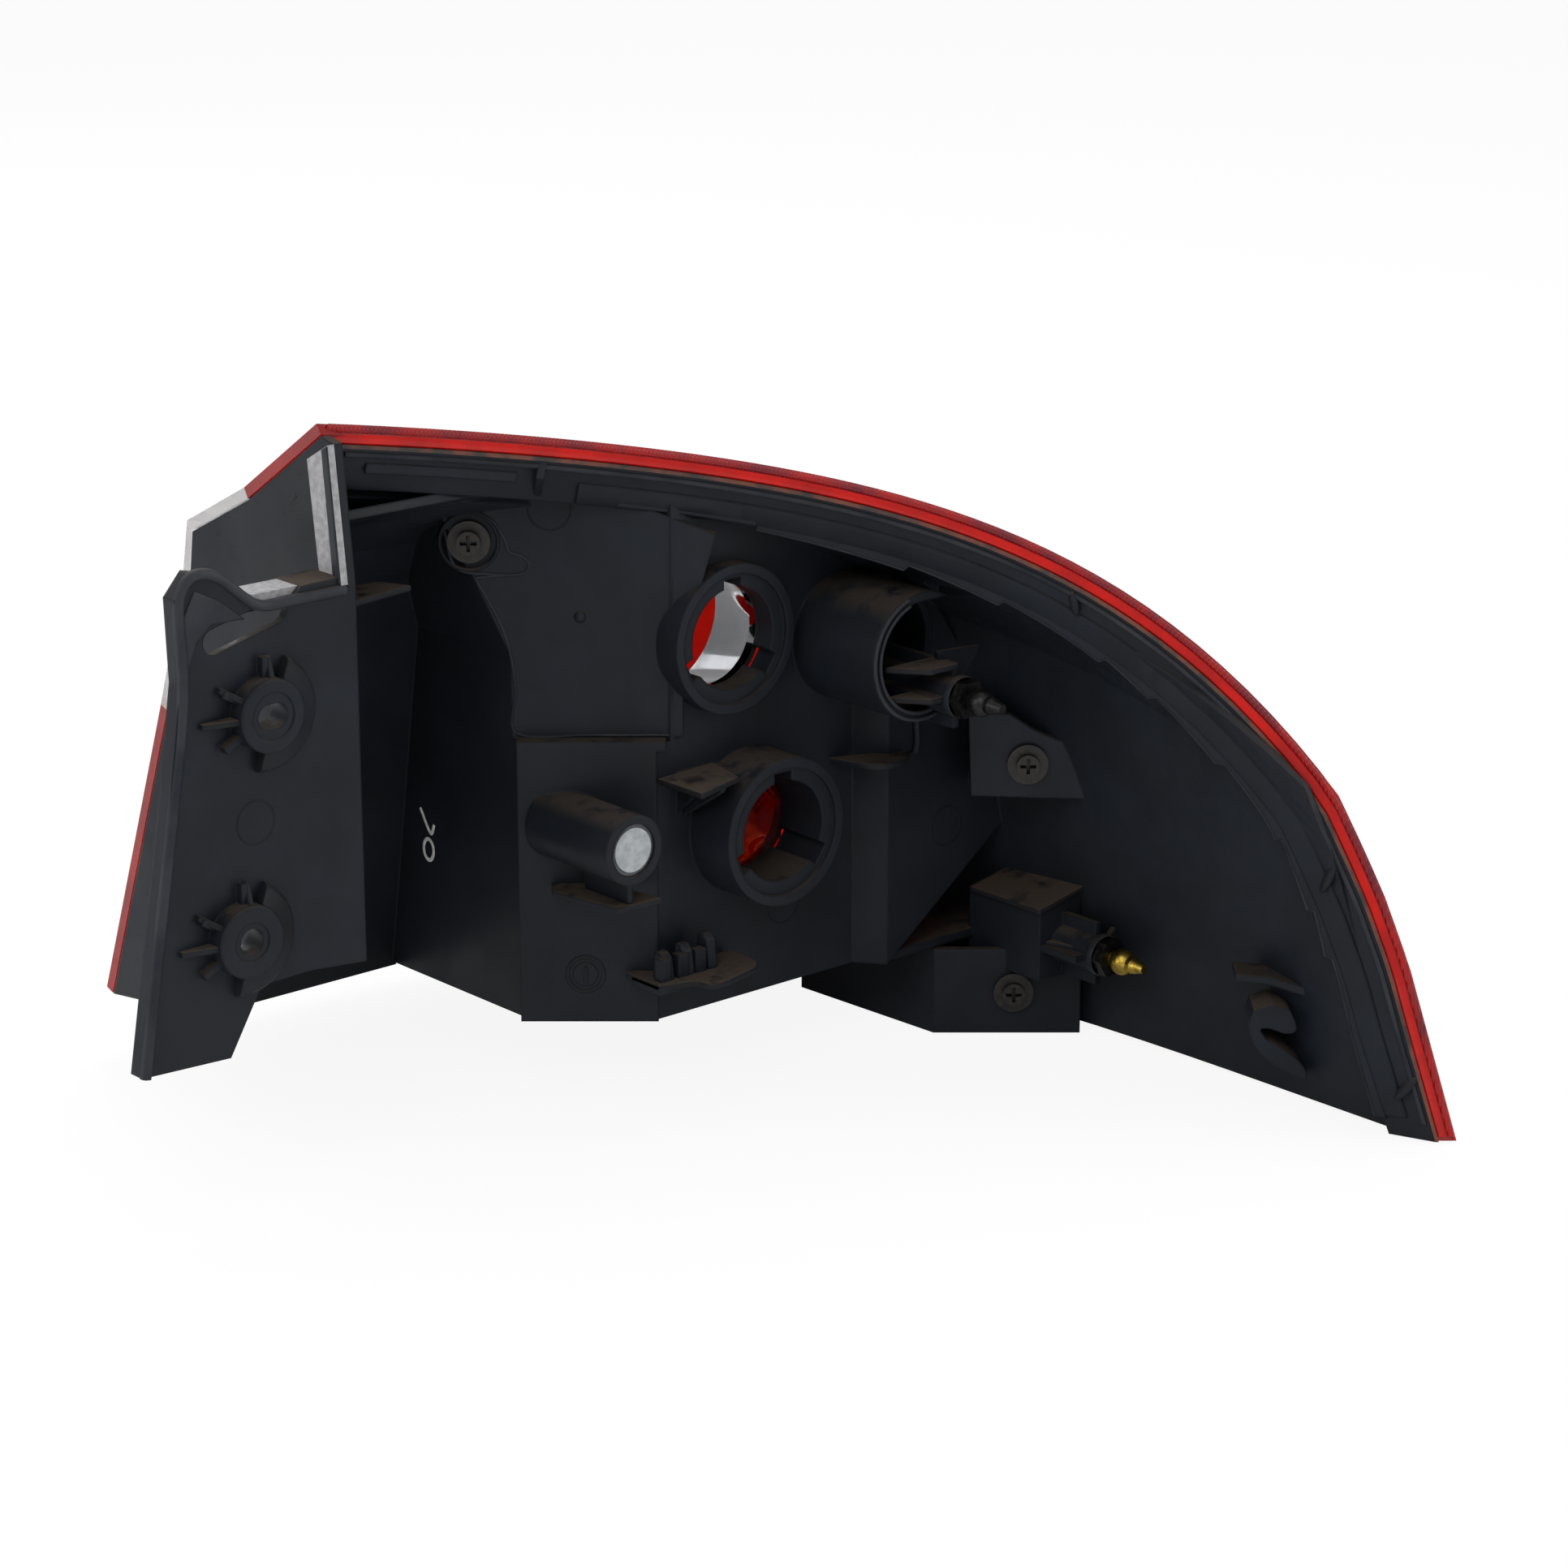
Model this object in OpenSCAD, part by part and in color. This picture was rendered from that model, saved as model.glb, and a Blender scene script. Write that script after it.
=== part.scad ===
// Rear corner lamp of a family car, left hand, seen and fixed from its back.
// Row frame: X outboard, Y rearward, Z up. The numbers below are laid out about
// the mouth of the lower bulb hole, and every node is then moved so that the
// lower jamb screw hole is the origin.

/* [Lamp] */
// Angle between the car's rear face and the mould's opening direction, degrees
mould_angle = 41.2; // [40:0.2:42.4]
// Wall of the black housing
wall_t = 2.5; // [2:0.1:3]
// Wall of the outer lens
lens_t = 3; // [2.4:0.1:3.4]
// Width of the lens edge that shows round the housing
lens_lip_w = 5; // [4:0.25:6]
// Width of the bead that joins lens and housing
seam_w = 1; // [0.8:0.1:1.4]
// Width of the raised rim band of the housing
flange_w = 18; // [16:0.5:20]
// Depth of the step inside the rim band
flange_drop = 12; // [8:1:14]

/* [Bulb holes] */
// Bore of both bulb holes
bulb_bore_d = 28; // [26:0.5:29]
// Outside diameter of both bulb collars
collar_d = 41; // [39:0.5:44]
// Height of the lower collar above its wall
lower_collar_h = 16; // [12:0.5:18]
// Height of the upper collar above its wall
upper_collar_h = 8; // [6:0.5:10]
// Depth of the three bayonet notches
notch_depth = 2.4; // [1.6:0.2:3]
// Width of a bayonet notch
notch_w = 6; // [4:0.5:8]

/* [Jamb bracket] */
// Bore of the round lower jamb hole
jamb_hole_d = 7; // [6:0.5:8]
// Width across the upper jamb slot
jamb_slot_w = 6.4; // [5.6:0.2:7]
// Length of the upper jamb slot
jamb_slot_l = 9; // [8:0.5:11]
// Diameter of a jamb boss
jamb_boss_d = 19; // [17:0.5:21]
// Height of a jamb boss in front of the bracket
jamb_boss_h = 5; // [3:0.5:7]

/* [Breather] */
// Outside diameter of the breather tube
vent_tube_d = 19; // [17:0.5:21]
// Length of the breather tube
vent_tube_l = 28; // [24:1:32]
// Diameter of the white breather plug
vent_plug_d = 12; // [11:0.5:13]
// Thickness of the breather plug
vent_plug_h = 5; // [4:0.5:7]
// Wall of the grey ring round the breather plug
vent_ring_t = 0.9; // [0.7:0.1:1.2]

/* [Locating studs] */
// Diameter of a stud's shank
stud_d = 5; // [4:0.25:6]
// Diameter of a stud's ball
stud_ball_d = 7.5; // [7:0.25:9]
// Length of a stud in front of its post
stud_l = 15; // [13:1:18]
// Size across the flats of a stud's hexagon
stud_hex = 9.5; // [9:0.25:11]
// Outside diameter of the post that carries a stud
post_d = 11; // [10:0.25:12]

/* [Reflector screws] */
// Diameter of the flange of a reflector screw
screw_flange_d = 11.3; // [10:0.1:12]
// Diameter of the driving boss of a reflector screw
screw_boss_d = 6.4; // [5.6:0.1:7]
// Diameter of the shank of a reflector screw
screw_shank_d = 3.8; // [3:0.1:4.4]
// Length of the shank of a reflector screw
screw_l = 14; // [13:1:16]

/* [Foam] */
// Thickness of the foam strip and pad
foam_t = 2; // [1.5:0.25:3]
// Width of the foam strip
foam_w = 9; // [7:0.5:10]

/* [Hidden] */
$fn = 64;
eps = 0.01;
clear_fit = 0.1;
// Heights
base_z = -50;
skirt_z = -75;
rim_z = 123;
rim_slope = 50;
rim_hook = 57;
// Lens corners in the mould frame: along, depth
inboard_u = -117;
inboard_v = -51.4;
knee_u = 145;
tip_u = 177.6;
tip_v = -34.7;
rim_sag = 46;
// Lens edge in the row frame
inboard_x = -122;
outboard_x = 111;
rear_y = 148;
tip_y = -143;
foot_z0 = -55;
corner_power = 3.6;
// Profile of the lens from its rim down: share of the drop, share of the reach inboard and at the tip
prof_w = [0, 0.124, 0.2, 0.287, 0.478, 1];
prof_in = [0, 0.3, 0.545, 0.573, 0.68, 1];
prof_tip = [0, 0.17, 0.27, 0.38, 0.58, 1];
// Depth of the rim band's inner edge, of the seam and how far the band stands proud
flange_v = 5;
seam_deep = 0.8;
seam_proud = 1;
// Share of the rim that the end wall takes up
lip_start = 0.008;
// How far the lens swells between its ends
belly = 0.18;
// Grid of the lens
lens_nx = 40;
lens_rows = [0, 0.03, 0.06, 0.09, 0.124, 0.16, 0.2, 0.287, 0.38, 0.5, 0.62, 0.75, 0.88, 1];
clear_cols = 18;
clear_row0 = 4;
clear_row1 = 9;
// Planes of the housing's back
collar_y = 16;
step_y = 8;
ridge_y = 27;
upper_plate_v = -5;
lower_plate_v = -10;
ledge_z = 28;
plate_left_u = -71.5;
plate_right_u = -36;
bank_x = -58;
step_x0 = 38;
step_x1 = 44;
// Bulb holes: across, mouth, height
lower_bulb = [0, collar_y - lower_collar_h, 0];
upper_bulb = [-9, 18 - upper_collar_h, 53];
// Bracket
jamb_low = [-157.7, ridge_y - jamb_boss_h, -0.9];
jamb_high = [-149, ridge_y - jamb_boss_h, 56];
datum = jamb_low;
// Screws in the mould frame: along, depth, height
screw_at = [[-83.2, upper_plate_v + 1, 81.3], [66.5, 40, 7.2], [64, 48, -62.5]];
// Breather and studs in the row frame, at their front ends
vent_at = [-50.7, 2.5, 5];
vent_ring_d = vent_plug_d + 2 * clear_fit;
vent_bore_d = vent_ring_d + 2 * (vent_ring_t + clear_fit);
stud_high = [40, -26, 35.5];
stud_low = [88, -34, -46.5];
socket_at = [34, -16, 46];
socket_d = 35.5;
stud_grip = 8;
stud_nut_h = 3;
bowl_gap = 0.3;
bowl_t = 1.5;
upper_bowl_d = 44;
lower_bowl_d = 52;
upper_bowl_l = 24;
lower_bowl_l = 46;
amber_y = collar_y + wall_t + bowl_gap + lower_bowl_l;
seat_end_v = 52;

function mix(a, b, t) = a + (b - a) * t;
function to_row(p) = [
    p.x * cos(mould_angle) + p.y * sin(mould_angle),
    -p.x * sin(mould_angle) + p.y * cos(mould_angle),
    p.z
];
function to_mould(p) = [
    p.x * cos(mould_angle) - p.y * sin(mould_angle),
    p.x * sin(mould_angle) + p.y * cos(mould_angle),
    p.z
];

// The top rim from the inboard end to the knee is a shallow arch in depth and
// falls ever faster towards the knee.
function opening_v(u) =
    let(k = (u - inboard_u) / (tip_u - inboard_u))
    mix(inboard_v, tip_v, k) + 4 * rim_sag * k * (1 - k);
function rim(s) =
    let(u = mix(inboard_u, knee_u, s))
    to_row([u, opening_v(u), rim_z - rim_slope * s - rim_hook * pow(s, 5)]);

// The foot of the lens is a rounded corner in plan, lower outboard.
function foot(s) =
    let(a = sin(90 * s), b = cos(90 * s), q = pow(pow(a, corner_power) + pow(b, corner_power), -1 / corner_power))
    [
        mix(inboard_x, outboard_x, a * q),
        mix(tip_y, rear_y, b * q),
        mix(foot_z0, skirt_z, min(1, 1.6 * s))
    ];

function reach(s, w) =
    let(k = pow(s, 4))
    mix(lookup(w, pairs(prof_w, prof_in)), lookup(w, pairs(prof_w, prof_tip)), k)
    + belly * sin(180 * s) * 4 * w * (1 - w);
function pairs(a, b) = [for (i = [0 : len(a) - 1]) [a[i], b[i]]];

// A point of the lens: s along the rim, w down from it.
function skin(s, w) =
    let(a = rim(s), b = foot(s), h = reach(s, w))
    [mix(a.x, b.x, h), mix(a.y, b.y, h), mix(a.z, b.z, w)];

function unit(v) = v / norm(v);
function skin_out(s, w) =
    let(
        e = 0.01,
        ds = skin(min(1, s + e), w) - skin(max(0, s - e), w),
        dw = skin(s, min(1, w + e)) - skin(s, max(0, w - e))
    )
    unit(cross(ds, dw));
// The same point moved inwards by d, kept in the end plane.
function inner(s, w, d) =
    let(n = skin_out(s, w), m = s == 0 ? unit([0, n.y, n.z]) : n)
    skin(s, w) - m * d;
// The inside of the lens: its edge lies in the mould's opening, the rest behind it.
function lens_in(s, w) =
    let(
        n = skin_out(s, w),
        on_edge = s == 1 || w == 0,
        m = on_edge ? unit(n - deep * (n * deep)) : n,
        p = to_mould(skin(s, w) - m * lens_t)
    )
    s == 0 ? inner(s, w, lens_t) : to_row([p.x, max(p.y, opening_v(p.x) + (on_edge ? 0 : seam_deep + 0.4)), p.z]);

// The visible edge runs along the rim and then down the front edge to the tip,
// where the way in from it turns level.
edge_end = 1.36;
function edge(s) = s <= 1 ? rim(s) : skin(1, (s - 1) / (edge_end - 1));
function edge_in(s) =
    let(
        e = 0.01,
        a = to_mould(edge(max(0, s - e))),
        b = to_mould(edge(min(edge_end, s + e))),
        t = unit([b.x - a.x, b.z - a.z]),
        level = min(1, (edge_end - s) / 0.12)
    )
    to_row([t.y, 0, -t.x * level]);
deep = to_row([0, 1, 0]);

// A closed shell over the kept cells of two point grids.
module cell_shell(front, back, keep) {
    n = len(front);
    m = len(front[0]);
    pts = concat([for (r = front) each r], [for (r = back) each r]);
    off = n * m;
    function id(i, j) = i * m + j;
    function kept(i, j) = i >= 0 && j >= 0 && i < n - 1 && j < m - 1 && keep[i][j];
    faces = [
        for (i = [0 : n - 2], j = [0 : m - 2])
            if (kept(i, j)) each [
                [id(i, j), id(i + 1, j), id(i + 1, j + 1)],
                [id(i, j), id(i + 1, j + 1), id(i, j + 1)],
                [off + id(i, j), off + id(i + 1, j + 1), off + id(i + 1, j)],
                [off + id(i, j), off + id(i, j + 1), off + id(i + 1, j + 1)],
                if (!kept(i - 1, j)) each side(id(i, j), id(i, j + 1), off),
                if (!kept(i + 1, j)) each side(id(i + 1, j + 1), id(i + 1, j), off),
                if (!kept(i, j - 1)) each side(id(i + 1, j), id(i, j), off),
                if (!kept(i, j + 1)) each side(id(i, j + 1), id(i + 1, j + 1), off)
            ]
    ];
    polyhedron(pts, faces);
}
function side(a, b, off) = [[a, b, off + b], [a, off + b, off + a]];

module lens_shell(keep) {
    cell_shell(
        [for (i = [0 : lens_nx]) [for (w = lens_rows) lens_in(i / lens_nx, w)]],
        [for (i = [0 : lens_nx]) [for (w = lens_rows) skin(i / lens_nx, w)]],
        keep
    );
}
function in_window(i, j) = i < clear_cols && j >= clear_row0 && j < clear_row1;

// A strip along the visible edge. Each column is a distance in from the edge and
// a depth; near the knee the last column's depth goes over to end_depth.
// It starts where the end wall ends.
module edge_strip(front, back, front_end, back_end) {
    n = 54;
    s = [for (i = [0 : n]) mix(lip_start, edge_end, i / n)];
    function row(k, cols, last) = [
        for (j = [0 : len(cols) - 1])
            let(d = j == len(cols) - 1 ? mix(cols[j].y, last, min(1, max(0, k - 0.6) / 0.35)) : cols[j].y)
            edge(k) + edge_in(k) * cols[j].x + deep * d
    ];
    cell_shell(
        [for (k = s) row(k, front, front_end)],
        [for (k = s) row(k, back, back_end)],
        [for (i = [1 : n]) [for (j = [1 : len(front) - 1]) true]]
    );
}

module lip_strip(a, b, v0, v1) {
    edge_strip([[a, v0], [b, v0]], [[a, v1], [b, v1]], v0, v1);
}

// Flat plates: outline in X and Z, in Y and Z, or in the mould frame.
module plate_y(outline, y, t) {
    translate([0, y + t, 0])
        rotate([90, 0, 0])
            linear_extrude(t)
                polygon(outline);
}
module plate_x(outline, x, t) {
    translate([x, 0, 0])
        rotate([90, 0, 90])
            linear_extrude(t)
                polygon(outline);
}
module in_mould() {
    rotate([0, 0, -mould_angle])
        children();
}
module plate_v(outline, v, t) {
    in_mould()
        plate_y(outline, v, t);
}
// A band of thickness t on the left of a path.
function normal_at(p, i) =
    let(
        a = i == 0 ? p[1] - p[0] : p[i] - p[i - 1],
        b = i == len(p) - 1 ? a : p[i + 1] - p[i],
        na = unit([-a.y, a.x]),
        nb = unit([-b.y, b.x]),
        m = unit(na + nb)
    )
    m / (m * na);
function band(p, t) = concat(p, [for (i = [len(p) - 1 : -1 : 0]) p[i] + normal_at(p, i) * t]);

module rod_y(d, y0, y1) {
    translate([0, y1, 0])
        rotate([90, 0, 0])
            cylinder(d = d, h = y1 - y0);
}

// Where the offset lens crosses a plane of constant Y.
function cross_w(s, y, d, lo, hi, n) =
    n == 0 ? (lo + hi) / 2
    : let(m = (lo + hi) / 2)
        inner(s, m, d).y < y ? cross_w(s, y, d, m, hi, n - 1) : cross_w(s, y, d, lo, m, n - 1);
function trim_at(s, y, d) =
    let(p = inner(s, cross_w(s, y, d, 0, 1, 12), d))
    [p.x, p.z];
// Black housing, one moulding
ridge_top = [ridge_y, 84];
end_top = [31, 119];
end_outline = concat(
    [[121, -53], [ridge_y, -15], ridge_top, end_top],
    [for (w = prof_w) let(p = inner(0, w, lens_t + 0.5)) [p.y, p.z]]
);
bracket_outline = [
    [-119.5, 83], [-150.5, 83.5], [-160.5, 92.5], [-168, 94.5], [-173.2, 88.5], [-172.5, 67],
    [-177, 37], [-188.5, -31], [-162, -32], [-152, -15], [-137, -14.5], [-119.5, -16]
];
bracket_roll = [
    [-188.5, -31], [-177, 37], [-172.5, 67], [-173.2, 88.5], [-168, 94.5], [-160.5, 92.5], [-150.5, 83.5], [-122, 83]
];
bracket_roll_h = 5;
trough_path = [[38, 97], [58, 89], [72, 78], [83, 64], [101.2, base_z - 1.2]];
bank_path = [[-73, 95], [-66, 74], [bank_x, 50], [bank_x, base_z]];
upper_plate = [
    [-93, 95], [-86, 77], [-81, 72], [-72.5, 50], [plate_left_u, ledge_z],
    [-30, ledge_z], [-30, 52], [-21, 84], [-51, 96], [-62, 95]
];
upper_plate_right = [[-30, ledge_z], [-30, 52], [-21, 84]];
screw_plate = [
    [50, 22], [61.4, 21.2], [68.4, 16.6], [79, 12], [83, 6], [84, -3.2], [51, -2.2]
];
function flat(p) = [p.x, p.y];
skirt_path = [
    [60, 62], flat(to_row([41.5, screw_at[2].y, 0])), flat(to_row([83, screw_at[2].y, 0]))
];
box_outline = [[78, -56], [94, -56], [94, -31.5], [78, -35]];

module end_wall() {
    plate_x(end_outline, inboard_x, wall_t);
}

module bracket() {
    plate_y(bracket_outline, ridge_y, wall_t);
    plate_y(band(bracket_roll, -wall_t), ridge_y, bracket_roll_h);
    for (p = [jamb_low, jamb_high])
        translate([p.x, 0, p.z])
            rod_y(jamb_boss_d, p.y, ridge_y + wall_t);
}

// Six ribs round a jamb boss
module jamb_ribs(p) {
    for (a = [30 : 60 : 330])
        translate([p.x, ridge_y - jamb_boss_h / 2, p.z])
            rotate([0, a, 0])
                translate([jamb_boss_d / 2 - 1, 0, -0.9])
                    cube([6, jamb_boss_h / 2 + wall_t, 1.8]);
}

trough_mid = [for (i = [0 : len(trough_path) - 1]) trough_path[i] + normal_at(trough_path, i) * wall_t / 2];
module trough() {
    plate_x(band(trough_path, wall_t), inboard_x, bank_x - inboard_x + wall_t / 2);
    intersection() {
        plate_y(band(bank_path, wall_t), ridge_y, 80);
        plate_x(concat([[ridge_y, base_z - 2], [ridge_y, 102]], trough_mid), inboard_x, 80);
        in_mould() {
            translate([-200, upper_plate_v, ledge_z])
                cube([200, 150, 90]);
            translate([-200, lower_plate_v, base_z])
                cube([200, 150, ledge_z - base_z + eps]);
        }
    }
}

module plates() {
    plate_v(upper_plate, upper_plate_v, wall_t);
    plate_v(band(upper_plate_right, -wall_t), upper_plate_v, 3.5);
    in_mould() {
        translate([plate_left_u, lower_plate_v, base_z - 0.3])
            cube([plate_right_u - plate_left_u + 1.5, wall_t, ledge_z - base_z]);
        translate([plate_left_u, lower_plate_v, ledge_z - wall_t])
            cube([plate_right_u - plate_left_u + 4, upper_plate_v - lower_plate_v + wall_t, wall_t]);
    }
}

trim_gap = lens_t + 6;
collar_wall = concat(
    [[-33.4, base_z], [-33.4, ledge_z - 1], [-27, ledge_z - 1]],
    [for (k = [0.34 : 0.04 : 0.56]) trim_at(k, collar_y + wall_t, trim_gap)],
    [[step_x0, trim_at(0.56, collar_y + wall_t, trim_gap)[1] - 2], [step_x0, base_z]]
);
step_trim = [for (k = [0.76 : -0.03 : 0.57]) trim_at(k, step_y + wall_t, trim_gap)];
step_wall = concat(
    [[step_x1, base_z]],
    [for (p = step_trim) if (p.y > base_z && p.x > step_x1) p],
    [[step_x1, 62]]
);
step_lap = unit([step_x1 - step_x0, step_y - collar_y]) * 1.2;
module block() {
    plate_y(collar_wall, collar_y, wall_t);
    translate([0, 0, base_z])
        linear_extrude(62 - base_z)
            polygon(band([[step_x0, collar_y] - step_lap, [step_x1, step_y]], wall_t));
    plate_y(step_wall, step_y, wall_t);
    for (c = [lower_bulb, upper_bulb])
        translate([c.x, 0, c.z])
            rod_y(collar_d, c.y, collar_y + wall_t);
}

module bulb_hole(c) {
    translate([c.x, 0, c.z]) {
        rod_y(bulb_bore_d, c.y - 1, collar_y + 40);
        rod_y(bulb_bore_d + 7.6, c.y - 1, c.y + 1.5);
        for (a = [90, 205, 325])
            rotate([0, -a, 0])
                translate([0, c.y - 1, -notch_w / 2])
                    cube([bulb_bore_d / 2 + notch_depth, 60, notch_w]);
    }
}

module breather_tube() {
    translate([vent_at.x, 0, vent_at.z])
        rod_y(vent_tube_d, vent_at.y, vent_at.y + vent_tube_l + 6);
}

module socket() {
    translate([socket_at.x, 0, socket_at.z])
        rod_y(socket_d, socket_at.y, collar_y + wall_t);
}
module socket_hollow() {
    translate([socket_at.x, 0, socket_at.z])
        rod_y(socket_d - 2 * wall_t, socket_at.y - 1, collar_y - 4);
    translate([socket_at.x + 2, socket_at.y - 1, socket_at.z - socket_d / 2 + wall_t])
        cube([socket_d / 2, 16, socket_d - 2 * wall_t]);
}

// Cross-ribbed post that carries a stud
module post(p, y1, r) {
    translate([p.x, 0, p.z]) {
        rod_y(post_d, p.y, y1);
        for (a = [0, 90])
            rotate([0, a, 0])
                plate_y([[-r, -1], [r, -1], [r, 1], [-r, 1]], p.y + 3, y1 - p.y - 3);
    }
}

module screw_seats() {
    plate_v(screw_plate, screw_at[1].y, wall_t);
    plate_v(band([[51, -2.2], [72, -2.9]], wall_t), screw_at[1].y, 16);
    plate_v(band([[50, 22], [51, -2.2]], wall_t), screw_at[1].y, 14);
    translate([0, 0, skirt_z])
        linear_extrude(base_z - skirt_z)
            polygon(band(skirt_path, wall_t));
    for (p = screw_at)
        in_mould()
            translate([p.x, 0, p.z])
                rod_y(screw_shank_d + 6, p.y, p == screw_at[0] ? p.y + screw_l : seat_end_v);
}

module stud_box() {
    difference() {
        plate_y(box_outline, -18, step_y + wall_t + 18);
        translate([80.5, -15.5, -53.5])
            cube([11, 30, 17]);
    }
}

// Rim band with its inner step, then the sloping roof and side wall behind it
module rim_band() {
    edge_strip(
        [[lens_lip_w + seam_w, -seam_proud], [flange_w, flange_v], [flange_w, flange_v + flange_drop]],
        [
            [lens_lip_w + seam_w, wall_t - seam_proud],
            [flange_w - wall_t, flange_v + wall_t],
            [flange_w - wall_t, flange_v + flange_drop]
        ],
        flange_v + wall_t + 1.5,
        flange_v + wall_t + 1.5
    );
}
side_rows = [0.06, 0.11, 0.16, 0.22, 0.32, 0.44, 0.56, 0.68, 0.8, 0.9, 0.985];
side_n = 30;
function side_s(i) = mix(0.005, 0.968, i / side_n);
function side_gap(s) = lens_t + mix(6, 1, pow(s, 3));
module side_wall() {
    cell_shell(
        [for (i = [0 : side_n]) [for (w = side_rows) inner(side_s(i), w, side_gap(side_s(i)) + wall_t)]],
        [for (i = [0 : side_n]) [for (w = side_rows) inner(side_s(i), w, side_gap(side_s(i)))]],
        [for (i = [0 : side_n - 1]) [for (j = [0 : len(side_rows) - 2]) j < 3 || side_s(i) >= 0.55]]
    );
}

module floor_slab() {
    top = base_z + wall_t;
    foot_in = [
        for (k = [0.02 : 0.06 : 0.8])
            let(a = rim(k).z, w = (a - top) / (a - foot(k).z))
            flat(inner(k, w, lens_t + 1))
    ];
    translate([0, 0, base_z + 0.5])
        linear_extrude(wall_t)
            polygon(concat(
                [[93.5, -13], [87.5, step_y + 1], [step_x1 + 1, step_y + 1], [step_x0 + 1, collar_y + 1],
                 [-32.2, collar_y + 1.2], [bank_x + 1, 38.5], [bank_x + 1, 102.2], [inboard_x + 1, 102.2]],
                foot_in
            ));
}

module gusset() {
    plate_x([[collar_y, 18], [5, 18], [5, 16.5], [collar_y, 7]], -25, 15);
}
module cable_clip() {
    translate([-41, 4, -38])
        cube([28, collar_y - 4 + eps, 2.2]);
    for (x = [-39, -33, -27])
        translate([x, 6, -38])
            cube([3.6, 3, 9]);
}

module housing() {
    color("#1b1c1f")
        translate(-datum)
            difference() {
                union() {
                    difference() {
                        walls();
                        socket_hollow();
                    }
                    post(stud_high, collar_y, 9);
                    post(stud_low, -17, 9);
                }
                bores();
            }
}
module walls() {
    end_wall();
    bracket();
    jamb_ribs(jamb_low);
    jamb_ribs(jamb_high);
    trough();
    plates();
    block();
    breather_tube();
    socket();
    screw_seats();
    stud_box();
    rim_band();
    side_wall();
    floor_slab();
    gusset();
    cable_clip();
}
module bores() {
    bulb_hole(lower_bulb);
    bulb_hole(upper_bulb);
    translate([vent_at.x, 0, vent_at.z])
        rod_y(vent_bore_d, vent_at.y - 1, vent_at.y + vent_tube_l - 4);
    translate([jamb_low.x, 0, jamb_low.z])
        rod_y(jamb_hole_d, jamb_low.y - 1, ridge_y + 10);
    jamb_slot();
    bracket_window();
    in_mould()
        translate([screw_at[0].x, 0, screw_at[0].z])
            rod_y(screw_flange_d + 3.5, screw_at[0].y - 3, screw_at[0].y);
    for (p = screw_at)
        in_mould()
            translate([p.x, 0, p.z])
                rod_y(screw_shank_d, p.y - 1, p.y + screw_l);
    for (p = [stud_high, stud_low])
        translate([p.x, 0, p.z])
            rod_y(stud_d, p.y - 1, p.y + stud_grip);
}

module jamb_slot() {
    half = (jamb_slot_l - jamb_slot_w) / 2;
    for (x = [-half, half])
        translate([jamb_high.x + x, 0, jamb_high.z])
            rod_y(jamb_slot_w, jamb_high.y - 1, ridge_y + 10);
    translate([jamb_high.x - half, jamb_high.y - 1, jamb_high.z - jamb_slot_w / 2])
        cube([2 * half, 20, jamb_slot_w]);
}

// Tear-shaped window above the upper boss
module bracket_window() {
    translate([-153.5, ridge_y - 1, 78.5])
        rotate([0, -14, 0]) {
            translate([-9, 0, 0])
                rod_y(6.5, 0, wall_t + 2);
            translate([-9, 0, -3.25])
                cube([19, wall_t + 2, 6.5]);
            translate([10, 0, 0])
                rod_y(6.5, 0, wall_t + 2);
        }
}

// Lens: the red shell with the rim that shows, and the clear window in it
module lens_red() {
    color("#c8161a")
        translate(-datum) {
            lens_shell([for (i = [0 : lens_nx - 1]) [for (j = [0 : len(lens_rows) - 2]) !in_window(i, j)]]);
            lip_strip(lens_t / 3, lens_lip_w, 0, seam_deep);
        }
}
module lens_clear() {
    color("#e8ecef", 0.5)
        translate(-datum)
            lens_shell([for (i = [0 : lens_nx - 1]) [for (j = [0 : len(lens_rows) - 2]) in_window(i, j)]]);
}
module seam_bead() {
    color("#b4541e")
        translate(-datum)
            lip_strip(lens_lip_w, lens_lip_w + seam_w, -seam_proud, seam_deep);
}

// Bowl reflectors behind the bulb holes, open towards the lens
module bowl(c, d, l) {
    y0 = collar_y + wall_t + bowl_gap;
    neck = bulb_bore_d / 2 + 0.6;
    translate([c.x, y0, c.z])
        rotate([-90, 0, 0])
            rotate_extrude()
                polygon([
                    [neck, 0], [neck + bowl_t, 0], [d / 2, l], [d / 2 - bowl_t, l], [neck, 3]
                ]);
}
module reflector_upper() {
    color("silver")
        translate(-datum)
            bowl(upper_bulb, upper_bowl_d, upper_bowl_l);
}
module reflector_lower() {
    color("silver")
        translate(-datum)
            bowl(lower_bulb, lower_bowl_d, lower_bowl_l);
}
// Fluted amber pane seen through the lower bulb hole
module lens_inner_amber() {
    color("#e8571a")
        translate(-datum)
            translate([-30, amber_y, -24]) {
                cube([34, 2, 44]);
                for (k = [0 : 5])
                    translate([0, 0, 2 + 7 * k])
                        cube([34, 4, 3.5]);
            }
}

module screw(p) {
    color("#2a2b2e")
        translate(-datum)
            in_mould()
                translate([p.x, 0, p.z])
                    difference() {
                        union() {
                            rod_y(screw_flange_d, p.y - 1.6, p.y);
                            rod_y(screw_boss_d, p.y - 3.4, p.y);
                            rod_y(screw_shank_d - 2 * clear_fit, p.y - 1, p.y + screw_l - 1);
                        }
                        for (a = [0, 90])
                            rotate([0, a, 0])
                                translate([-2.2, p.y - 4, -0.5])
                                    cube([4.4, 2.6, 1]);
                    }
}
module screw_upper() screw(screw_at[0]);
module screw_middle() screw(screw_at[1]);
module screw_lower() screw(screw_at[2]);

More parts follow.
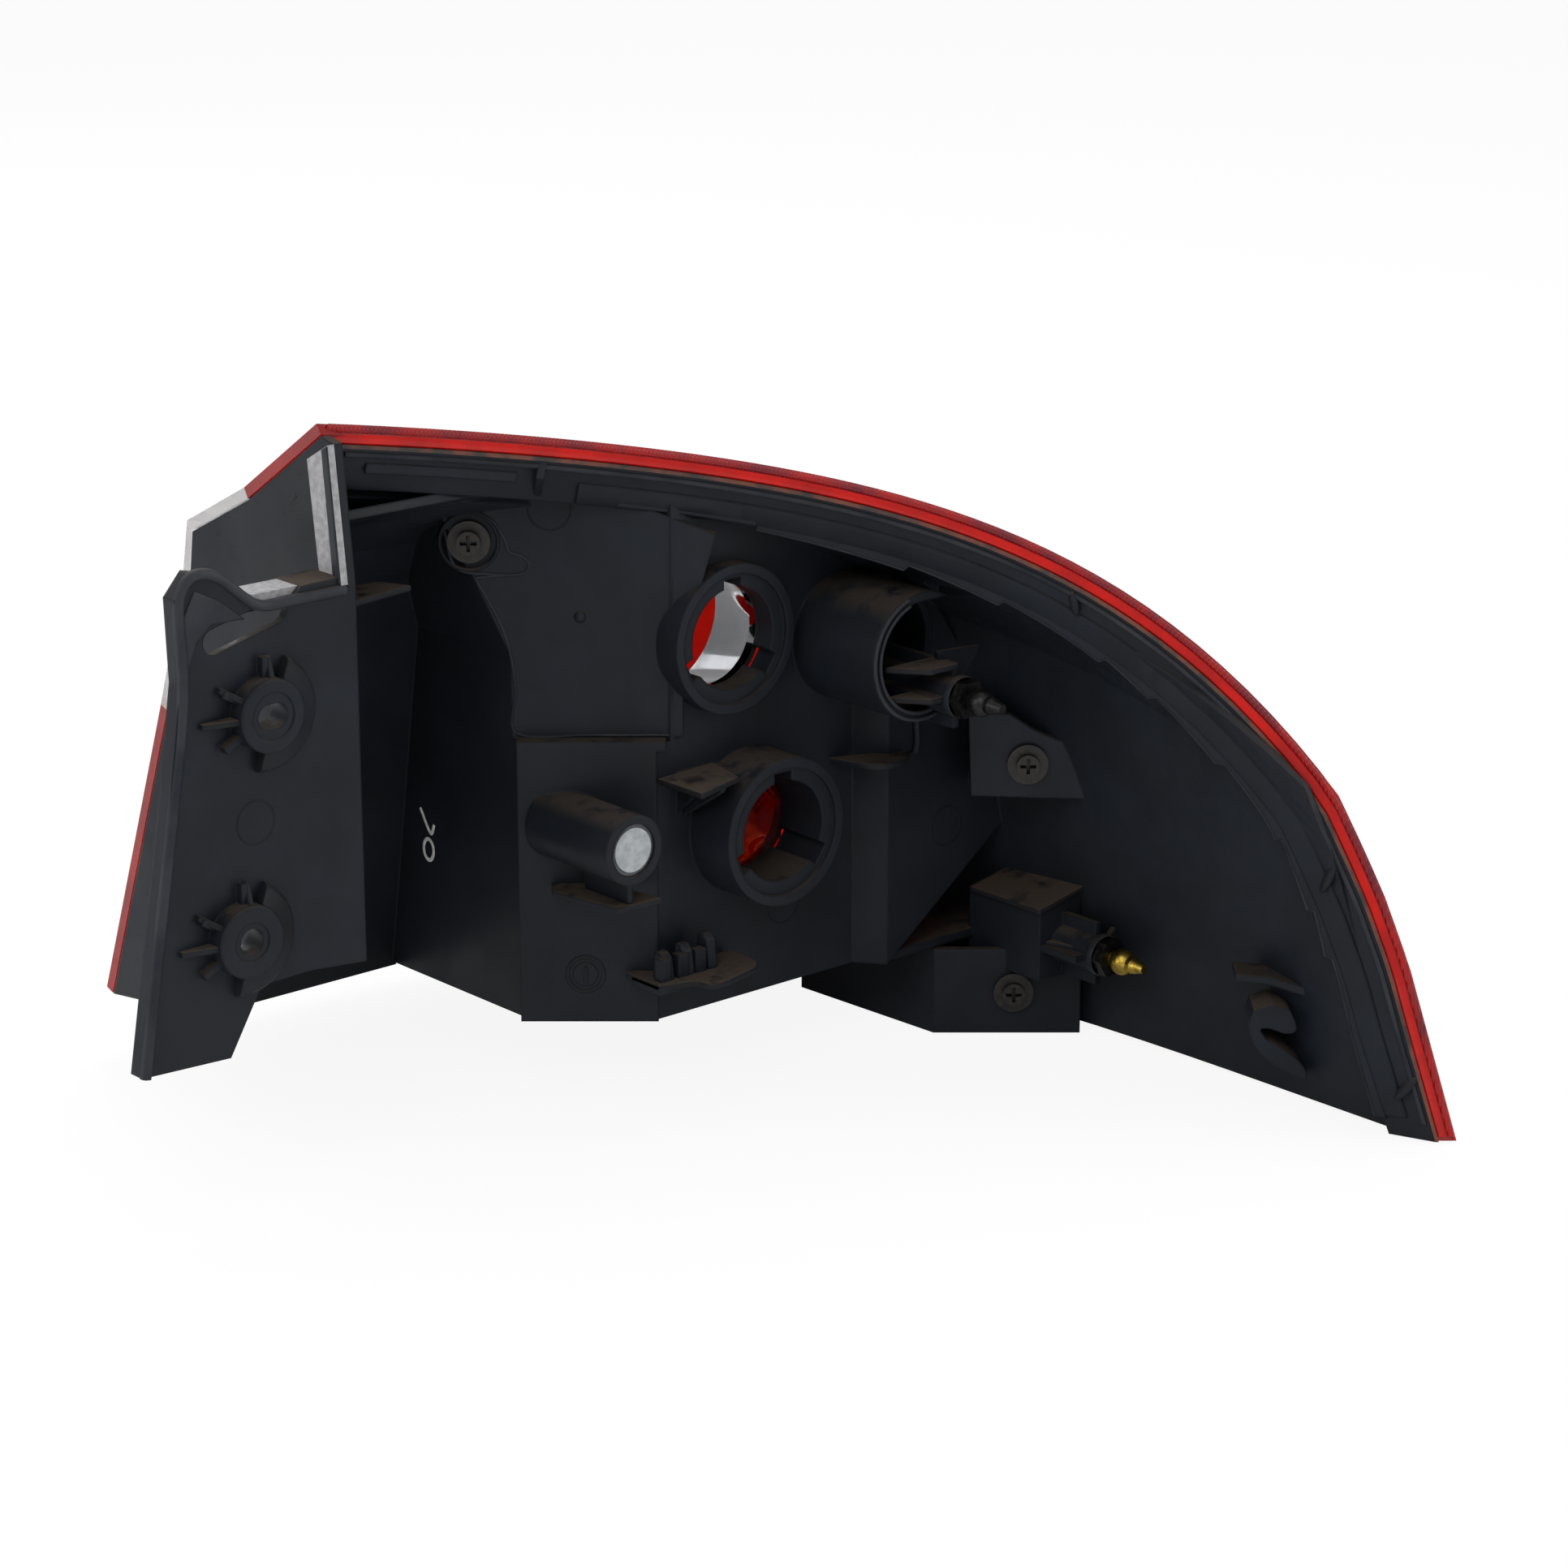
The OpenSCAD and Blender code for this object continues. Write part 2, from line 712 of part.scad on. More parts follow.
module breather_ring() {
    color("#8d9094")
        translate(-datum)
            translate([vent_at.x, 0, vent_at.z])
                difference() {
                    rod_y(vent_bore_d - 2 * clear_fit, vent_at.y + 1, vent_at.y + 4);
                    rod_y(vent_ring_d, vent_at.y, vent_at.y + 5);
                }
}
module breather_plug() {
    color("white")
        translate(-datum)
            translate([vent_at.x, 0, vent_at.z])
                rod_y(vent_plug_d, vent_at.y + 0.5, vent_at.y + 0.5 + vent_plug_h);
}

module stud(p) {
    translate(-datum)
        translate([p.x, 0, p.z]) {
            rod_y(stud_d - 2 * clear_fit, p.y - stud_l + 4, p.y + stud_grip - 1);
            translate([0, p.y - stud_nut_h - stud_ball_d / 2, 0])
                sphere(d = stud_ball_d);
            translate([0, p.y - stud_l + 4, 0])
                rotate([90, 0, 0])
                    cylinder(d1 = stud_d - 2 * clear_fit, d2 = stud_d / 2, h = 4);
        }
}
module stud_upper() color("#1a1a1c") stud(stud_high);
module stud_lower() color("#c9a227") stud(stud_low);
module stud_nut(p) {
    translate(-datum)
        translate([p.x, p.y, p.z])
            rotate([90, 0, 0])
                difference() {
                    cylinder(d = stud_hex / cos(30), h = stud_nut_h, $fn = 6);
                    translate([0, 0, -1])
                        cylinder(d = stud_d, h = stud_nut_h + 2);
                }
}
module stud_nut_upper() color("#222326") stud_nut(stud_high);
module stud_nut_lower() color("#222326") stud_nut(stud_low);

// Foam against rattle: a strip up the ridge of the end wall and a pad beside it
pad_x = -149;
module foam_strip() {
    color("#9a9a9c")
        translate(-datum)
            plate_x(
                [ridge_top - [0.2, 0], end_top, end_top + [foam_w, -5], ridge_top + [foam_w, 0]],
                inboard_x - foam_t, foam_t
            );
}
module foam_pad() {
    color("#a3a3a5")
        translate(-datum)
            translate([pad_x, ridge_y + wall_t, 83.5])
                cube([inboard_x - foam_t - 0.2 - pad_x, 9, foam_t]);
}

housing();
lens_red();
lens_clear();
seam_bead();
reflector_upper();
reflector_lower();
lens_inner_amber();
screw_upper();
screw_middle();
screw_lower();
breather_plug();
breather_ring();
stud_upper();
stud_lower();
stud_nut_upper();
stud_nut_lower();
foam_strip();
foam_pad();
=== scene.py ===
import math

import bmesh
import bpy
import numpy as np
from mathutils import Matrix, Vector


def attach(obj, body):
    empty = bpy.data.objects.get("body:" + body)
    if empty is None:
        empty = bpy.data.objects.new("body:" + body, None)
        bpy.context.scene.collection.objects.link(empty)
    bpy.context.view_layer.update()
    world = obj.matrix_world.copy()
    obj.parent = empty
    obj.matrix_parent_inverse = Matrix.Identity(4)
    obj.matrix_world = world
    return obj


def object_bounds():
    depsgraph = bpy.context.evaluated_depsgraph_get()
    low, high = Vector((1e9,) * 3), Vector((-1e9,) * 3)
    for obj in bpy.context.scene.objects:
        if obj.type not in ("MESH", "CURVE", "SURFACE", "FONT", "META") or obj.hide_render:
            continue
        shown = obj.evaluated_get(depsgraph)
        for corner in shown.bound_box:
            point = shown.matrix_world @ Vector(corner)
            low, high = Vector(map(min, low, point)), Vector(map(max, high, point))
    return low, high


bl_info = {
    "name": "Rear corner lamp",
    "version": (1, 0, 0),
    "blender": (4, 5, 0),
    "location": "View3D > Sidebar > Lamp",
    "description": "Trim, dirt and finishes of a car's rear lamp seen from its back",
    "category": "Object",
}

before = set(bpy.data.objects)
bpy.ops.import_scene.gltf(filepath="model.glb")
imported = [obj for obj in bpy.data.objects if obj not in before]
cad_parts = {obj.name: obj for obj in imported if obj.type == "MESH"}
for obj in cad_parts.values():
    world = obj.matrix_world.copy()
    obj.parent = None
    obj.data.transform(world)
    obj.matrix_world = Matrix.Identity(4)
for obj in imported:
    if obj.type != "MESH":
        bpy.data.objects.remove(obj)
CAD_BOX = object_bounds()

# The lamp is laid out in millimetres about the lower bulb hole, and the lower jamb
# screw hole is the origin of the part.
DATUM = np.array([-157.7, 22.0, -0.9])
TURN = math.radians(41.2)
EDGE_END = 1.36
CORNER = 3.6

# The rim and the foot of the lens, in mould and layout millimetres.
RIM_START, KNEE = -117, 145
OPENING_LENGTH, OPENING_ENDS, OPENING_RISE = 294.6, (-51.4, -34.7), 46
RIM_TOP, RIM_FALL, RIM_DROP = 123, 50, 57
FOOT_X, FOOT_Y, FOOT_Z = (-122, 111), (-143, 148), (-55, -75)
LENS_BULGE = 0.18

# The rim band: where its front starts and ends, and how deep it is there.
BAND_FROM, BAND_TO = 6, 18
BAND_FRONT, BAND_FALL = -1, 6

# Places that more than one piece is laid out from, in layout millimetres.
STUD_UPPER = (40, -26, 35.5)
STUD_LOWER = (88, -34, -46.5)
BOSS_Y = 22.0
BOSSES = ((-157.7, -0.9, 3.5), (-149, 56, 4.6))  # X, Z and the radius of the screw hole
BACKWARD = (0, 1, 0)

# The housing's three finishes and the name of its slot.
PLASTIC = "moulded_polypropylene"
DUSTY = "moulded_polypropylene_dusty"
# A paler grey copy of the plastic: painted highlight on thin edge pieces, painted shade over the foam strip's
# right bevel.
PAINTED_LIGHT = "moulded_polypropylene_rubbed"
HOUSING_SLOT = "housing_black"


def linear(code):
    """An sRGB hex colour as linear red, green, blue."""
    parts = [int(code[i : i + 2], 16) / 255 for i in (1, 3, 5)]
    return tuple(c / 12.92 if c <= 0.04045 else ((c + 0.055) / 1.055) ** 2.4 for c in parts)


# ---- the lamp's own surfaces ----


def mould(u, v, z):
    """Points given along, into and up the mould, turned by the mould angle about Z."""
    u, v, z = np.broadcast_arrays(np.asarray(u, float), v, z)
    c, s = math.cos(TURN), math.sin(TURN)
    return np.stack([u * c + v * s, -u * s + v * c, z], -1)


def to_mould(p):
    """The same turn the other way."""
    c, s = math.cos(TURN), math.sin(TURN)
    return np.stack([p[..., 0] * c - p[..., 1] * s, p[..., 0] * s + p[..., 1] * c, p[..., 2]], -1)


DEEP = mould(0, 1, 0)


def mix(a, b, t):
    """Straight from a to b as t goes from 0 to 1."""
    return a + (b - a) * t


def unit(v):
    """The direction of a vector, or of each row of them."""
    return v / np.linalg.norm(v, axis=-1, keepdims=True)


def opening(u):
    """Depth of the mould's opening: a straight line between its ends plus a parabola."""
    k = (u - RIM_START) / OPENING_LENGTH
    return mix(*OPENING_ENDS, k) + 4 * OPENING_RISE * k * (1 - k)


def rim(s):
    """Top edge: along the mould it runs evenly, and its height falls with s and with s to the fifth."""
    u = mix(RIM_START, KNEE, s)
    return mould(u, opening(u), RIM_TOP - RIM_FALL * s - RIM_DROP * s**5)


def foot(s):
    """Bottom edge: a superellipse of power 3.6 in plan, by polar angle 90 s degrees."""
    a, b = np.sin(math.pi / 2 * s), np.maximum(np.cos(math.pi / 2 * s), 0)
    q = (a**CORNER + b**CORNER) ** (-1 / CORNER)
    z = mix(*FOOT_Z, np.minimum(1, 1.6 * s))
    return np.stack([mix(*FOOT_X, a * q), mix(*FOOT_Y, b * q), z], -1)


def skin(s, w):
    """Outside of the lens: rim and foot mixed across by a looked-up reach and down by w."""
    s, w = np.broadcast_arrays(np.asarray(s, float), w)
    marks = [0, 0.124, 0.2, 0.287, 0.478, 1]
    near = np.interp(w, marks, [0, 0.3, 0.545, 0.573, 0.68, 1])
    far = np.interp(w, marks, [0, 0.17, 0.27, 0.38, 0.58, 1])
    h = mix(near, far, s**4) + LENS_BULGE * np.sin(math.pi * s) * 4 * w * (1 - w)
    a, b = rim(s), foot(s)
    plan = mix(a[..., :2], b[..., :2], h[..., None])
    height = mix(a[..., 2:], b[..., 2:], w[..., None])
    return np.concatenate([plan, height], -1)


def edge_curve(s):
    """The visible edge: the rim up to the knee at s = 1, then down the front edge of the lens."""
    s = np.asarray(s, float)
    down = np.clip((s - 1) / (EDGE_END - 1), 0, 1)
    return np.where((s <= 1)[..., None], rim(np.minimum(s, 1)), skin(np.ones_like(s), down))


def in_curve(s):
    """Unit direction in the opening plane, square to the edge and towards the housing; it turns level
    at the tip."""
    s = np.asarray(s, float)
    t = to_mould(edge_curve(np.minimum(EDGE_END, s + 0.01))) - to_mould(edge_curve(np.maximum(0, s - 0.01)))
    t = t[..., [0, 2]] / np.linalg.norm(t[..., [0, 2]], axis=-1, keepdims=True)
    level = np.minimum(1, (EDGE_END - s) / 0.12)
    return mould(t[..., 1], 0 * t[..., 1], -t[..., 0] * level)


ROWS = np.linspace(0.008, EDGE_END, 55)
EDGE_ROWS = edge_curve(ROWS)
IN_ROWS = in_curve(ROWS)


def between_rows(rows, s):
    """The moulding's rim is straight between 55 even rows, and what sits on it follows the same rows."""
    return np.stack([np.interp(s, ROWS, rows[:, k]) for k in range(3)], -1)


def edge(s):
    """The outer edge of the rim at each s."""
    return between_rows(EDGE_ROWS, s)


def edge_in(s):
    """The way in from the edge at each s."""
    return between_rows(IN_ROWS, s)


def band_depth(a):
    """Depth of the rim band's front at distance a from the edge: an even slope between its two ends."""
    along = (np.asarray(a, float) - BAND_FROM) / (BAND_TO - BAND_FROM)
    return BAND_FRONT + BAND_FALL * np.clip(along, 0, 1)


# ---- mesh helpers ----


def put(name, points, faces, material, slot, bevel=0.0, angle=40):
    """A closed piece from layout millimetres: doubles merged, normals turned outwards, edges rounded."""
    mesh = bpy.data.meshes.new(name)
    verts = (np.asarray(points, float) - DATUM) / 1000
    mesh.from_pydata(verts.tolist(), [], faces)
    obj = bpy.data.objects.new(name, mesh)
    bpy.context.scene.collection.objects.link(obj)
    bm = bmesh.new()
    bm.from_mesh(mesh)
    bmesh.ops.remove_doubles(bm, verts=bm.verts, dist=2e-6)
    bmesh.ops.recalc_face_normals(bm, faces=bm.faces)
    bm.to_mesh(mesh)
    bm.free()
    mesh.shade_smooth()
    if bevel:
        mod = obj.modifiers.new("rounded", "BEVEL")
        mod.width, mod.segments, mod.limit_method = bevel / 1000, 2, "ANGLE"
        mod.angle_limit, mod.harden_normals = math.radians(35), True
    mesh.set_sharp_from_angle(angle=math.radians(angle))
    mesh.materials.append(bpy.data.materials[material])
    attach(obj, "root")


def moulded(name, shape, finish, bevel=0.0, angle=40):
    """A piece of the black housing from its points and faces."""
    put(name, *shape, finish, HOUSING_SLOT, bevel, angle)


def loops(n, m):
    """Quads between n rows of m points each, every row closed into a ring, the two end rows capped."""
    i, j = np.meshgrid(np.arange(n - 1), np.arange(m), indexing="ij")
    k = (j + 1) % m
    quads = np.stack([i * m + j, i * m + k, (i + 1) * m + k, (i + 1) * m + j], -1).reshape(-1, 4)
    return quads.tolist() + [list(range(m)), list(range((n - 1) * m, n * m))]


def join(parts):
    """Several point sets with their faces as one."""
    points, faces, n = [], [], 0
    for p, f in parts:
        points.append(p)
        faces += [[i + n for i in face] for face in f]
        n += len(p)
    return np.concatenate(points), faces


def carried(path, side, lift, section):
    """A closed section carried along a path: path + side * a + lift * b for each (a, b) of the section.
    The section may be one for all rows or one per row."""
    path = np.asarray(path, float)
    n = len(path)
    side = np.broadcast_to(side, path.shape)
    lift = np.broadcast_to(lift, path.shape)
    sec = np.broadcast_to(section, (n,) + np.asarray(section).shape[-2:])
    grid = path[:, None] + side[:, None] * sec[..., :1] + lift[:, None] * sec[..., 1:]
    return grid.reshape(-1, 3), loops(n, sec.shape[1])


def oval(a, b, n=12):
    """A section in the shape of an ellipse with those half axes."""
    t = np.linspace(0, 2 * math.pi, n, endpoint=False)
    return np.stack([a * np.cos(t), b * np.sin(t)], -1)


def rod(path, radius, n=12):
    """A round section carried along a path, square to its tangent, on two axes: the tangent crossed with
    the main axis that is least along the path, and the tangent crossed with that."""
    path = np.asarray(path, float)
    t = unit(np.gradient(path, axis=0))
    ref = np.eye(3)[np.argmin(np.abs(t).max(0))]
    side = unit(np.cross(t, ref))
    return carried(path, side, np.cross(t, side), oval(radius, radius, n))


def slab(outline, offset):
    """A flat outline and the same outline moved by the offset, joined by side faces."""
    p = np.asarray(outline, float)
    q = p + np.asarray(offset, float)
    m = len(p)
    return np.concatenate([p, q]), loops(2, m)


def turned(profile, centre, axis, n=40):
    """A closed profile of radius and distance along the axis, turned once round it in n steps."""
    prof = np.asarray(profile, float)
    axis = unit(np.asarray(axis, float))
    ref = np.array([0.0, 0, 1]) if abs(axis[2]) < 0.9 else np.array([1.0, 0, 0])
    a = unit(np.cross(axis, ref))
    b = np.cross(axis, a)
    t = np.linspace(0, 2 * math.pi, n, endpoint=False)[:, None, None]
    ring = a * np.cos(t) + b * np.sin(t)
    grid = np.asarray(centre, float) + ring * prof[None, :, :1] + axis * prof[None, :, 1:]
    m = len(prof)
    i, j = np.meshgrid(np.arange(n), np.arange(m), indexing="ij")
    i_next, j_next = (i + 1) % n, (j + 1) % m
    faces = np.stack([i * m + j, i * m + j_next, i_next * m + j_next, i_next * m + j], -1).reshape(-1, 4)
    return grid.reshape(-1, 3), faces.tolist()


def smooth_path(points, n=40):
    """A Catmull-Rom curve through the points, evenly many steps in each stretch."""
    p = np.asarray(points, float)
    p = np.concatenate([2 * p[:1] - p[1:2], p, 2 * p[-1:] - p[-2:-1]])
    t = np.linspace(0, len(p) - 3, n)
    i = np.minimum(t.astype(int), len(p) - 4)
    f = (t - i)[:, None]
    a, b, c, d = p[i], p[i + 1], p[i + 2], p[i + 3]
    return 0.5 * (2 * b + (c - a) * f + (2 * a - 5 * b + 4 * c - d) * f**2 + (3 * b - a - 3 * c + d) * f**3)


# ---- finishes ----


def wire(tree, kind, inputs=None, **settings):
    """Adds a node, sets its properties and fills its inputs with values or other nodes' sockets."""
    n = tree.nodes.new(kind)
    for key, value in settings.items():
        setattr(n, key, value)
    for key, value in (inputs or {}).items():
        if isinstance(value, bpy.types.NodeSocket):
            tree.links.new(value, n.inputs[key])
        else:
            n.inputs[key].default_value = value
    return n


def finish_of(name):
    """A new material with an empty tree, its Principled shader linked to the output."""
    m = bpy.data.materials.new(name)
    m.use_nodes = True
    m.node_tree.nodes.clear()
    t = m.node_tree
    shader = wire(t, "ShaderNodeBsdfPrincipled")
    out = wire(t, "ShaderNodeOutputMaterial")
    t.links.new(shader.outputs[0], out.inputs[0])
    return t, shader


def noise(t, size, detail=3.0, rough=0.55, stretch=None):
    """Noise whose features are that many millimetres across, on Object coordinates."""
    at = wire(t, "ShaderNodeTexCoord").outputs["Object"]
    if stretch:
        at = wire(t, "ShaderNodeMapping", {"Vector": at, "Scale": stretch}).outputs[0]
    return wire(
        t, "ShaderNodeTexNoise", {"Vector": at, "Scale": 1000 / size, "Detail": detail, "Roughness": rough}
    ).outputs[0]


def ramp(t, value, low, high, a=0.0, b=1.0):
    """A value from low to high, eased to a range from a to b."""
    return wire(
        t,
        "ShaderNodeMapRange",
        {"Value": value, "From Min": low, "From Max": high, "To Min": a, "To Max": b},
        interpolation_type="SMOOTHSTEP",
    ).outputs[0]


def calc(t, op, a, b):
    """One step of arithmetic on two values, such as MULTIPLY or MAXIMUM."""
    return wire(t, "ShaderNodeMath", {0: a, 1: b}, operation=op).outputs[0]


def blend(t, fac, a, b):
    """Colour a where fac is 0 and colour b where it is 1."""
    n = wire(t, "ShaderNodeMix", data_type="RGBA")
    for key, value in ((0, fac), (6, a), (7, b)):
        if isinstance(value, bpy.types.NodeSocket):
            t.links.new(value, n.inputs[key])
        else:
            n.inputs[key].default_value = value if key == 0 else (*value[:3], 1)
    return n.outputs[2]


def relief(t, height, strength, distance, normal=None):
    """Relief of that many millimetres over a normal, or over the plain one."""
    inputs = {"Height": height, "Strength": strength, "Distance": distance / 1000}
    if normal:
        inputs["Normal"] = normal
    return wire(t, "ShaderNodeBump", inputs).outputs[0]


def black_plastic(name, base, dust, top_dust, gloss):
    """Talc-filled polypropylene, injection moulded with a fine spark-eroded grain and never polished:
    near black and faintly blue, with a broad soft shine, softly rounded edges, grey-brown road dust
    where it faces up, and rubbed patches."""
    t, s = finish_of(name)
    up = wire(t, "ShaderNodeSeparateXYZ", {0: wire(t, "ShaderNodeNewGeometry").outputs["Normal"]}).outputs[2]
    patches = noise(t, 9, 5, 0.6)
    lying = calc(t, "MULTIPLY", ramp(t, up, 0.55, 0.95), ramp(t, patches, 0.30, 0.52))
    film = ramp(t, noise(t, 38, 4, 0.6), 0.42, 0.72, 0, 0.12)
    specks = ramp(t, noise(t, 1.6, 2), 0.66, 0.72, 0, 0.35)
    dirt = calc(t, "MAXIMUM", calc(t, "MULTIPLY", lying, top_dust), calc(t, "MULTIPLY", film, specks))
    dirt = calc(t, "MAXIMUM", dirt, calc(t, "MULTIPLY", film, 0.5))
    tint = blend(t, ramp(t, noise(t, 22), 0.3, 0.7), linear(base), linear("#1b1f25"))
    s.inputs["Base Color"].default_value = (*linear(base), 1)
    t.links.new(blend(t, dirt, tint, linear(dust)), s.inputs["Base Color"])
    scuff = ramp(t, noise(t, 5, 6, 0.7, (1, 1, 7)), 0.58, 0.66, 0, 0.14)
    worn = ramp(t, noise(t, 30, 3), 0.35, 0.65, gloss - 0.05, gloss + 0.09)
    rough = calc(t, "ADD", calc(t, "ADD", worn, scuff), calc(t, "MULTIPLY", dirt, 0.45))
    t.links.new(rough, s.inputs["Roughness"])
    s.inputs["IOR"].default_value = 1.49
    s.inputs["Specular IOR Level"].default_value = 0.14
    # Edges of a moulding are rounded to about 0.9 mm. Its grain of 0.15 mm is drawn at 0.5 mm to show.
    soft = wire(t, "ShaderNodeBevel", {"Radius": 0.0009}, samples=4).outputs[0]
    waves = relief(t, noise(t, 26, 2), 0.25, 0.6, soft)
    grain = relief(t, noise(t, 0.5, 2), 0.10, 0.05, waves)
    s_normal = relief(t, calc(t, "MULTIPLY", dirt, noise(t, 1.1, 4)), 0.5, 0.25, grain)
    t.links.new(s_normal, s.inputs["Normal"])


def red_lens(name, colour, through, knurled=False):
    """PMMA dyed red and injection moulded: clear through its depth and glossy. Where it was welded it is
    knurled by fine upright teeth 1 mm apart."""
    t, s = finish_of(name)
    cloud = ramp(t, noise(t, 14, 3), 0.3, 0.7)
    t.links.new(blend(t, cloud, linear(colour), linear("#b41410")), s.inputs["Base Color"])
    s.inputs["Roughness"].default_value = 0.12
    s.inputs["IOR"].default_value = 1.49
    s.inputs["Transmission Weight"].default_value = through
    s.inputs["Specular IOR Level"].default_value = 0.22
    if knurled:
        at = wire(t, "ShaderNodeTexCoord").outputs["Object"]
        turned_at = wire(t, "ShaderNodeMapping", {"Vector": at, "Rotation": (0, 0, TURN)}).outputs[0]
        teeth = wire(
            t,
            "ShaderNodeTexWave",
            {"Vector": turned_at, "Scale": 320.0, "Distortion": 0.0},
            bands_direction="X",
        ).outputs[1]
        t.links.new(relief(t, teeth, 0.5, 0.4), s.inputs["Normal"])
        s.inputs["Roughness"].default_value = 0.34
    else:
        t.links.new(relief(t, noise(t, 18, 2), 0.12, 0.3), s.inputs["Normal"])


def plain_finish(name, colour, second, size, rough, grain=0.3, **more):
    """A finish of two close colours in patches of the given size, with a light grain."""
    t, s = finish_of(name)
    patches = noise(t, size, 4)
    tint = blend(t, ramp(t, patches, 0.35, 0.65), linear(colour), linear(second))
    t.links.new(tint, s.inputs["Base Color"])
    t.links.new(ramp(t, patches, 0.3, 0.7, max(0.02, rough - 0.06), rough + 0.06), s.inputs["Roughness"])
    for key, value in more.items():
        s.inputs[key.replace("_", " ")].default_value = value
    t.links.new(relief(t, noise(t, size / 6, 3), grain, 0.1), s.inputs["Normal"])


def make_finishes(look):
    """Every finish of the lamp, each named for what it is made of."""
    black_plastic(PLASTIC, "#171a1f", "#3a332d", 0.8, look.gloss)
    black_plastic(DUSTY, "#19191b", "#453c34", 0.9, 0.52)
    # Paler and smoother than the moulded grain: painted highlight on light edge lines, and painted shade
    # where it lies over the foam strip's right bevel.
    black_plastic(PAINTED_LIGHT, "#303136", "#3a332d", 0.5, 0.36)
    red_lens("red_acrylic", look.lens_hex, 0.7)
    red_lens("red_acrylic_band", "#d8160a", 0.3)
    red_lens("red_acrylic_knurled", "#6f1d28", 0.3, knurled=True)
    # Clear PMMA: nearly colourless and glossy.
    clear = {"Transmission_Weight": 0.75, "IOR": 1.49}
    plain_finish("clear_acrylic", "#ffffff", "#fbf8f8", 20, 0.08, 0.0, **clear)
    # The weld flash of the red lens: squeezed out, red-brown where thin, with grit stuck in it.
    flash = {"IOR": 1.49, "Transmission_Weight": 0.15}
    plain_finish("weld_flash", "#6a3420", "#2a2320", 7, 0.5, 0.6, **flash)
    # Aluminium vapour-coated on a moulded bowl: a grey mirror with faint waviness.
    plain_finish("vapour_coated_aluminium", "#85878b", "#74767a", 25, 0.08, 0.08, Metallic=1.0)
    # Deep amber polycarbonate: clear, glows orange-red when light comes through.
    amber = {"Transmission_Weight": 0.85, "IOR": 1.58}
    plain_finish("amber_polycarbonate", "#ff4a1c", "#f03810", 9, 0.18, 0.1, **amber)
    # Black phosphated steel with road dust: dull, slightly brown.
    plain_finish("phosphated_steel", "#2a2a2c", "#37332f", 1.6, 0.48, 0.4, Metallic=0.7)
    # Sintered white PTFE plug: matt and even, lightly soiled.
    plain_finish("sintered_ptfe", "#a7aaad", "#93979a", 2.5, 0.75, 0.3)
    # Grey silicone: soft sheen, slightly see-through at thin edges.
    silicone = {"Transmission_Weight": 0.3, "IOR": 1.41}
    plain_finish("grey_silicone", "#707478", "#5c6064", 2, 0.4, 0.2, **silicone)
    # Black zinc plate: dark, with a half-dull metal shine.
    plain_finish("black_zinc_steel", "#1c1c1e", "#2c2b2a", 1.5, 0.36, 0.3, Metallic=0.8)
    # Yellow passivated zinc, rubbed bright.
    plain_finish("yellow_zinc_steel", "#b99a3c", "#8f7a3a", 1.5, 0.3, 0.3, Metallic=1.0)
    # Closed-cell polyethylene foam tape: pale grey, matt, pitted by its cells.
    # Pale grey, matt, pitted by fine cells: a painted reflection of the soft light on the housing's glossy
    # ridge and fillet, given the look of foam tape.
    plain_finish("foam_tape", "#9a9a9c", "#868588", 1.8, 0.85, 0.8)
    # White paint pen: thin and matt.
    plain_finish("paint_pen", "#d9d9d6", "#c2c2be", 1.2, 0.6, 0.2)


# ---- sizes and colours that a user may change ----


class LampLook(bpy.types.PropertyGroup):
    """Sizes and colours shown in the panel"""

    gloss: bpy.props.FloatProperty(
        name="Plastic roughness",
        description="Roughness of the black moulding",
        default=0.4, min=0.1, max=0.9, subtype="FACTOR",
    )
    lens_hex: bpy.props.StringProperty(
        name="Lens colour", description="sRGB hex of the red lens", default="#d01e12"
    )
    bead: bpy.props.FloatProperty(
        name="Rim bead",
        description="Radius of the bead round the rim band",
        default=0.0009, min=0.0003, max=0.002, subtype="DISTANCE", unit="LENGTH",
    )
    light: bpy.props.FloatProperty(
        name="Studio light",
        description="Strength of the soft lights",
        default=1.0, min=0.1, max=4.0, subtype="FACTOR",
    )


# ---- operators, one for each group of pieces ----

CAD_FINISH = {
    "housing": PLASTIC, "lens_red": "red_acrylic", "lens_clear": "clear_acrylic",
    "seam_bead": "weld_flash", "reflector_upper": "vapour_coated_aluminium",
    "reflector_lower": "vapour_coated_aluminium", "lens_inner_amber": "amber_polycarbonate",
    "screw_upper": "phosphated_steel", "screw_middle": "phosphated_steel", "screw_lower": "phosphated_steel",
    "breather_plug": "sintered_ptfe", "breather_ring": "grey_silicone", "stud_upper": "black_zinc_steel",
    "stud_lower": "yellow_zinc_steel", "stud_nut_upper": "black_zinc_steel",
    # The foam strip and foam pad carry a painted reflection in pale grey.
    "stud_nut_lower": "black_zinc_steel", "foam_strip": "foam_tape", "foam_pad": "foam_tape",
}


class LAMP_OT_finishes(bpy.types.Operator):
    """Make the finishes and give them to the moulded parts"""

    bl_idname = "lamp.finishes"
    bl_label = "Finishes"

    def execute(self, context):
        make_finishes(context.scene.lamp_look)
        for name, finish in CAD_FINISH.items():
            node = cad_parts[name]
            node.data.materials.clear()
            node.data.materials.append(bpy.data.materials[finish])
        return {"FINISHED"}


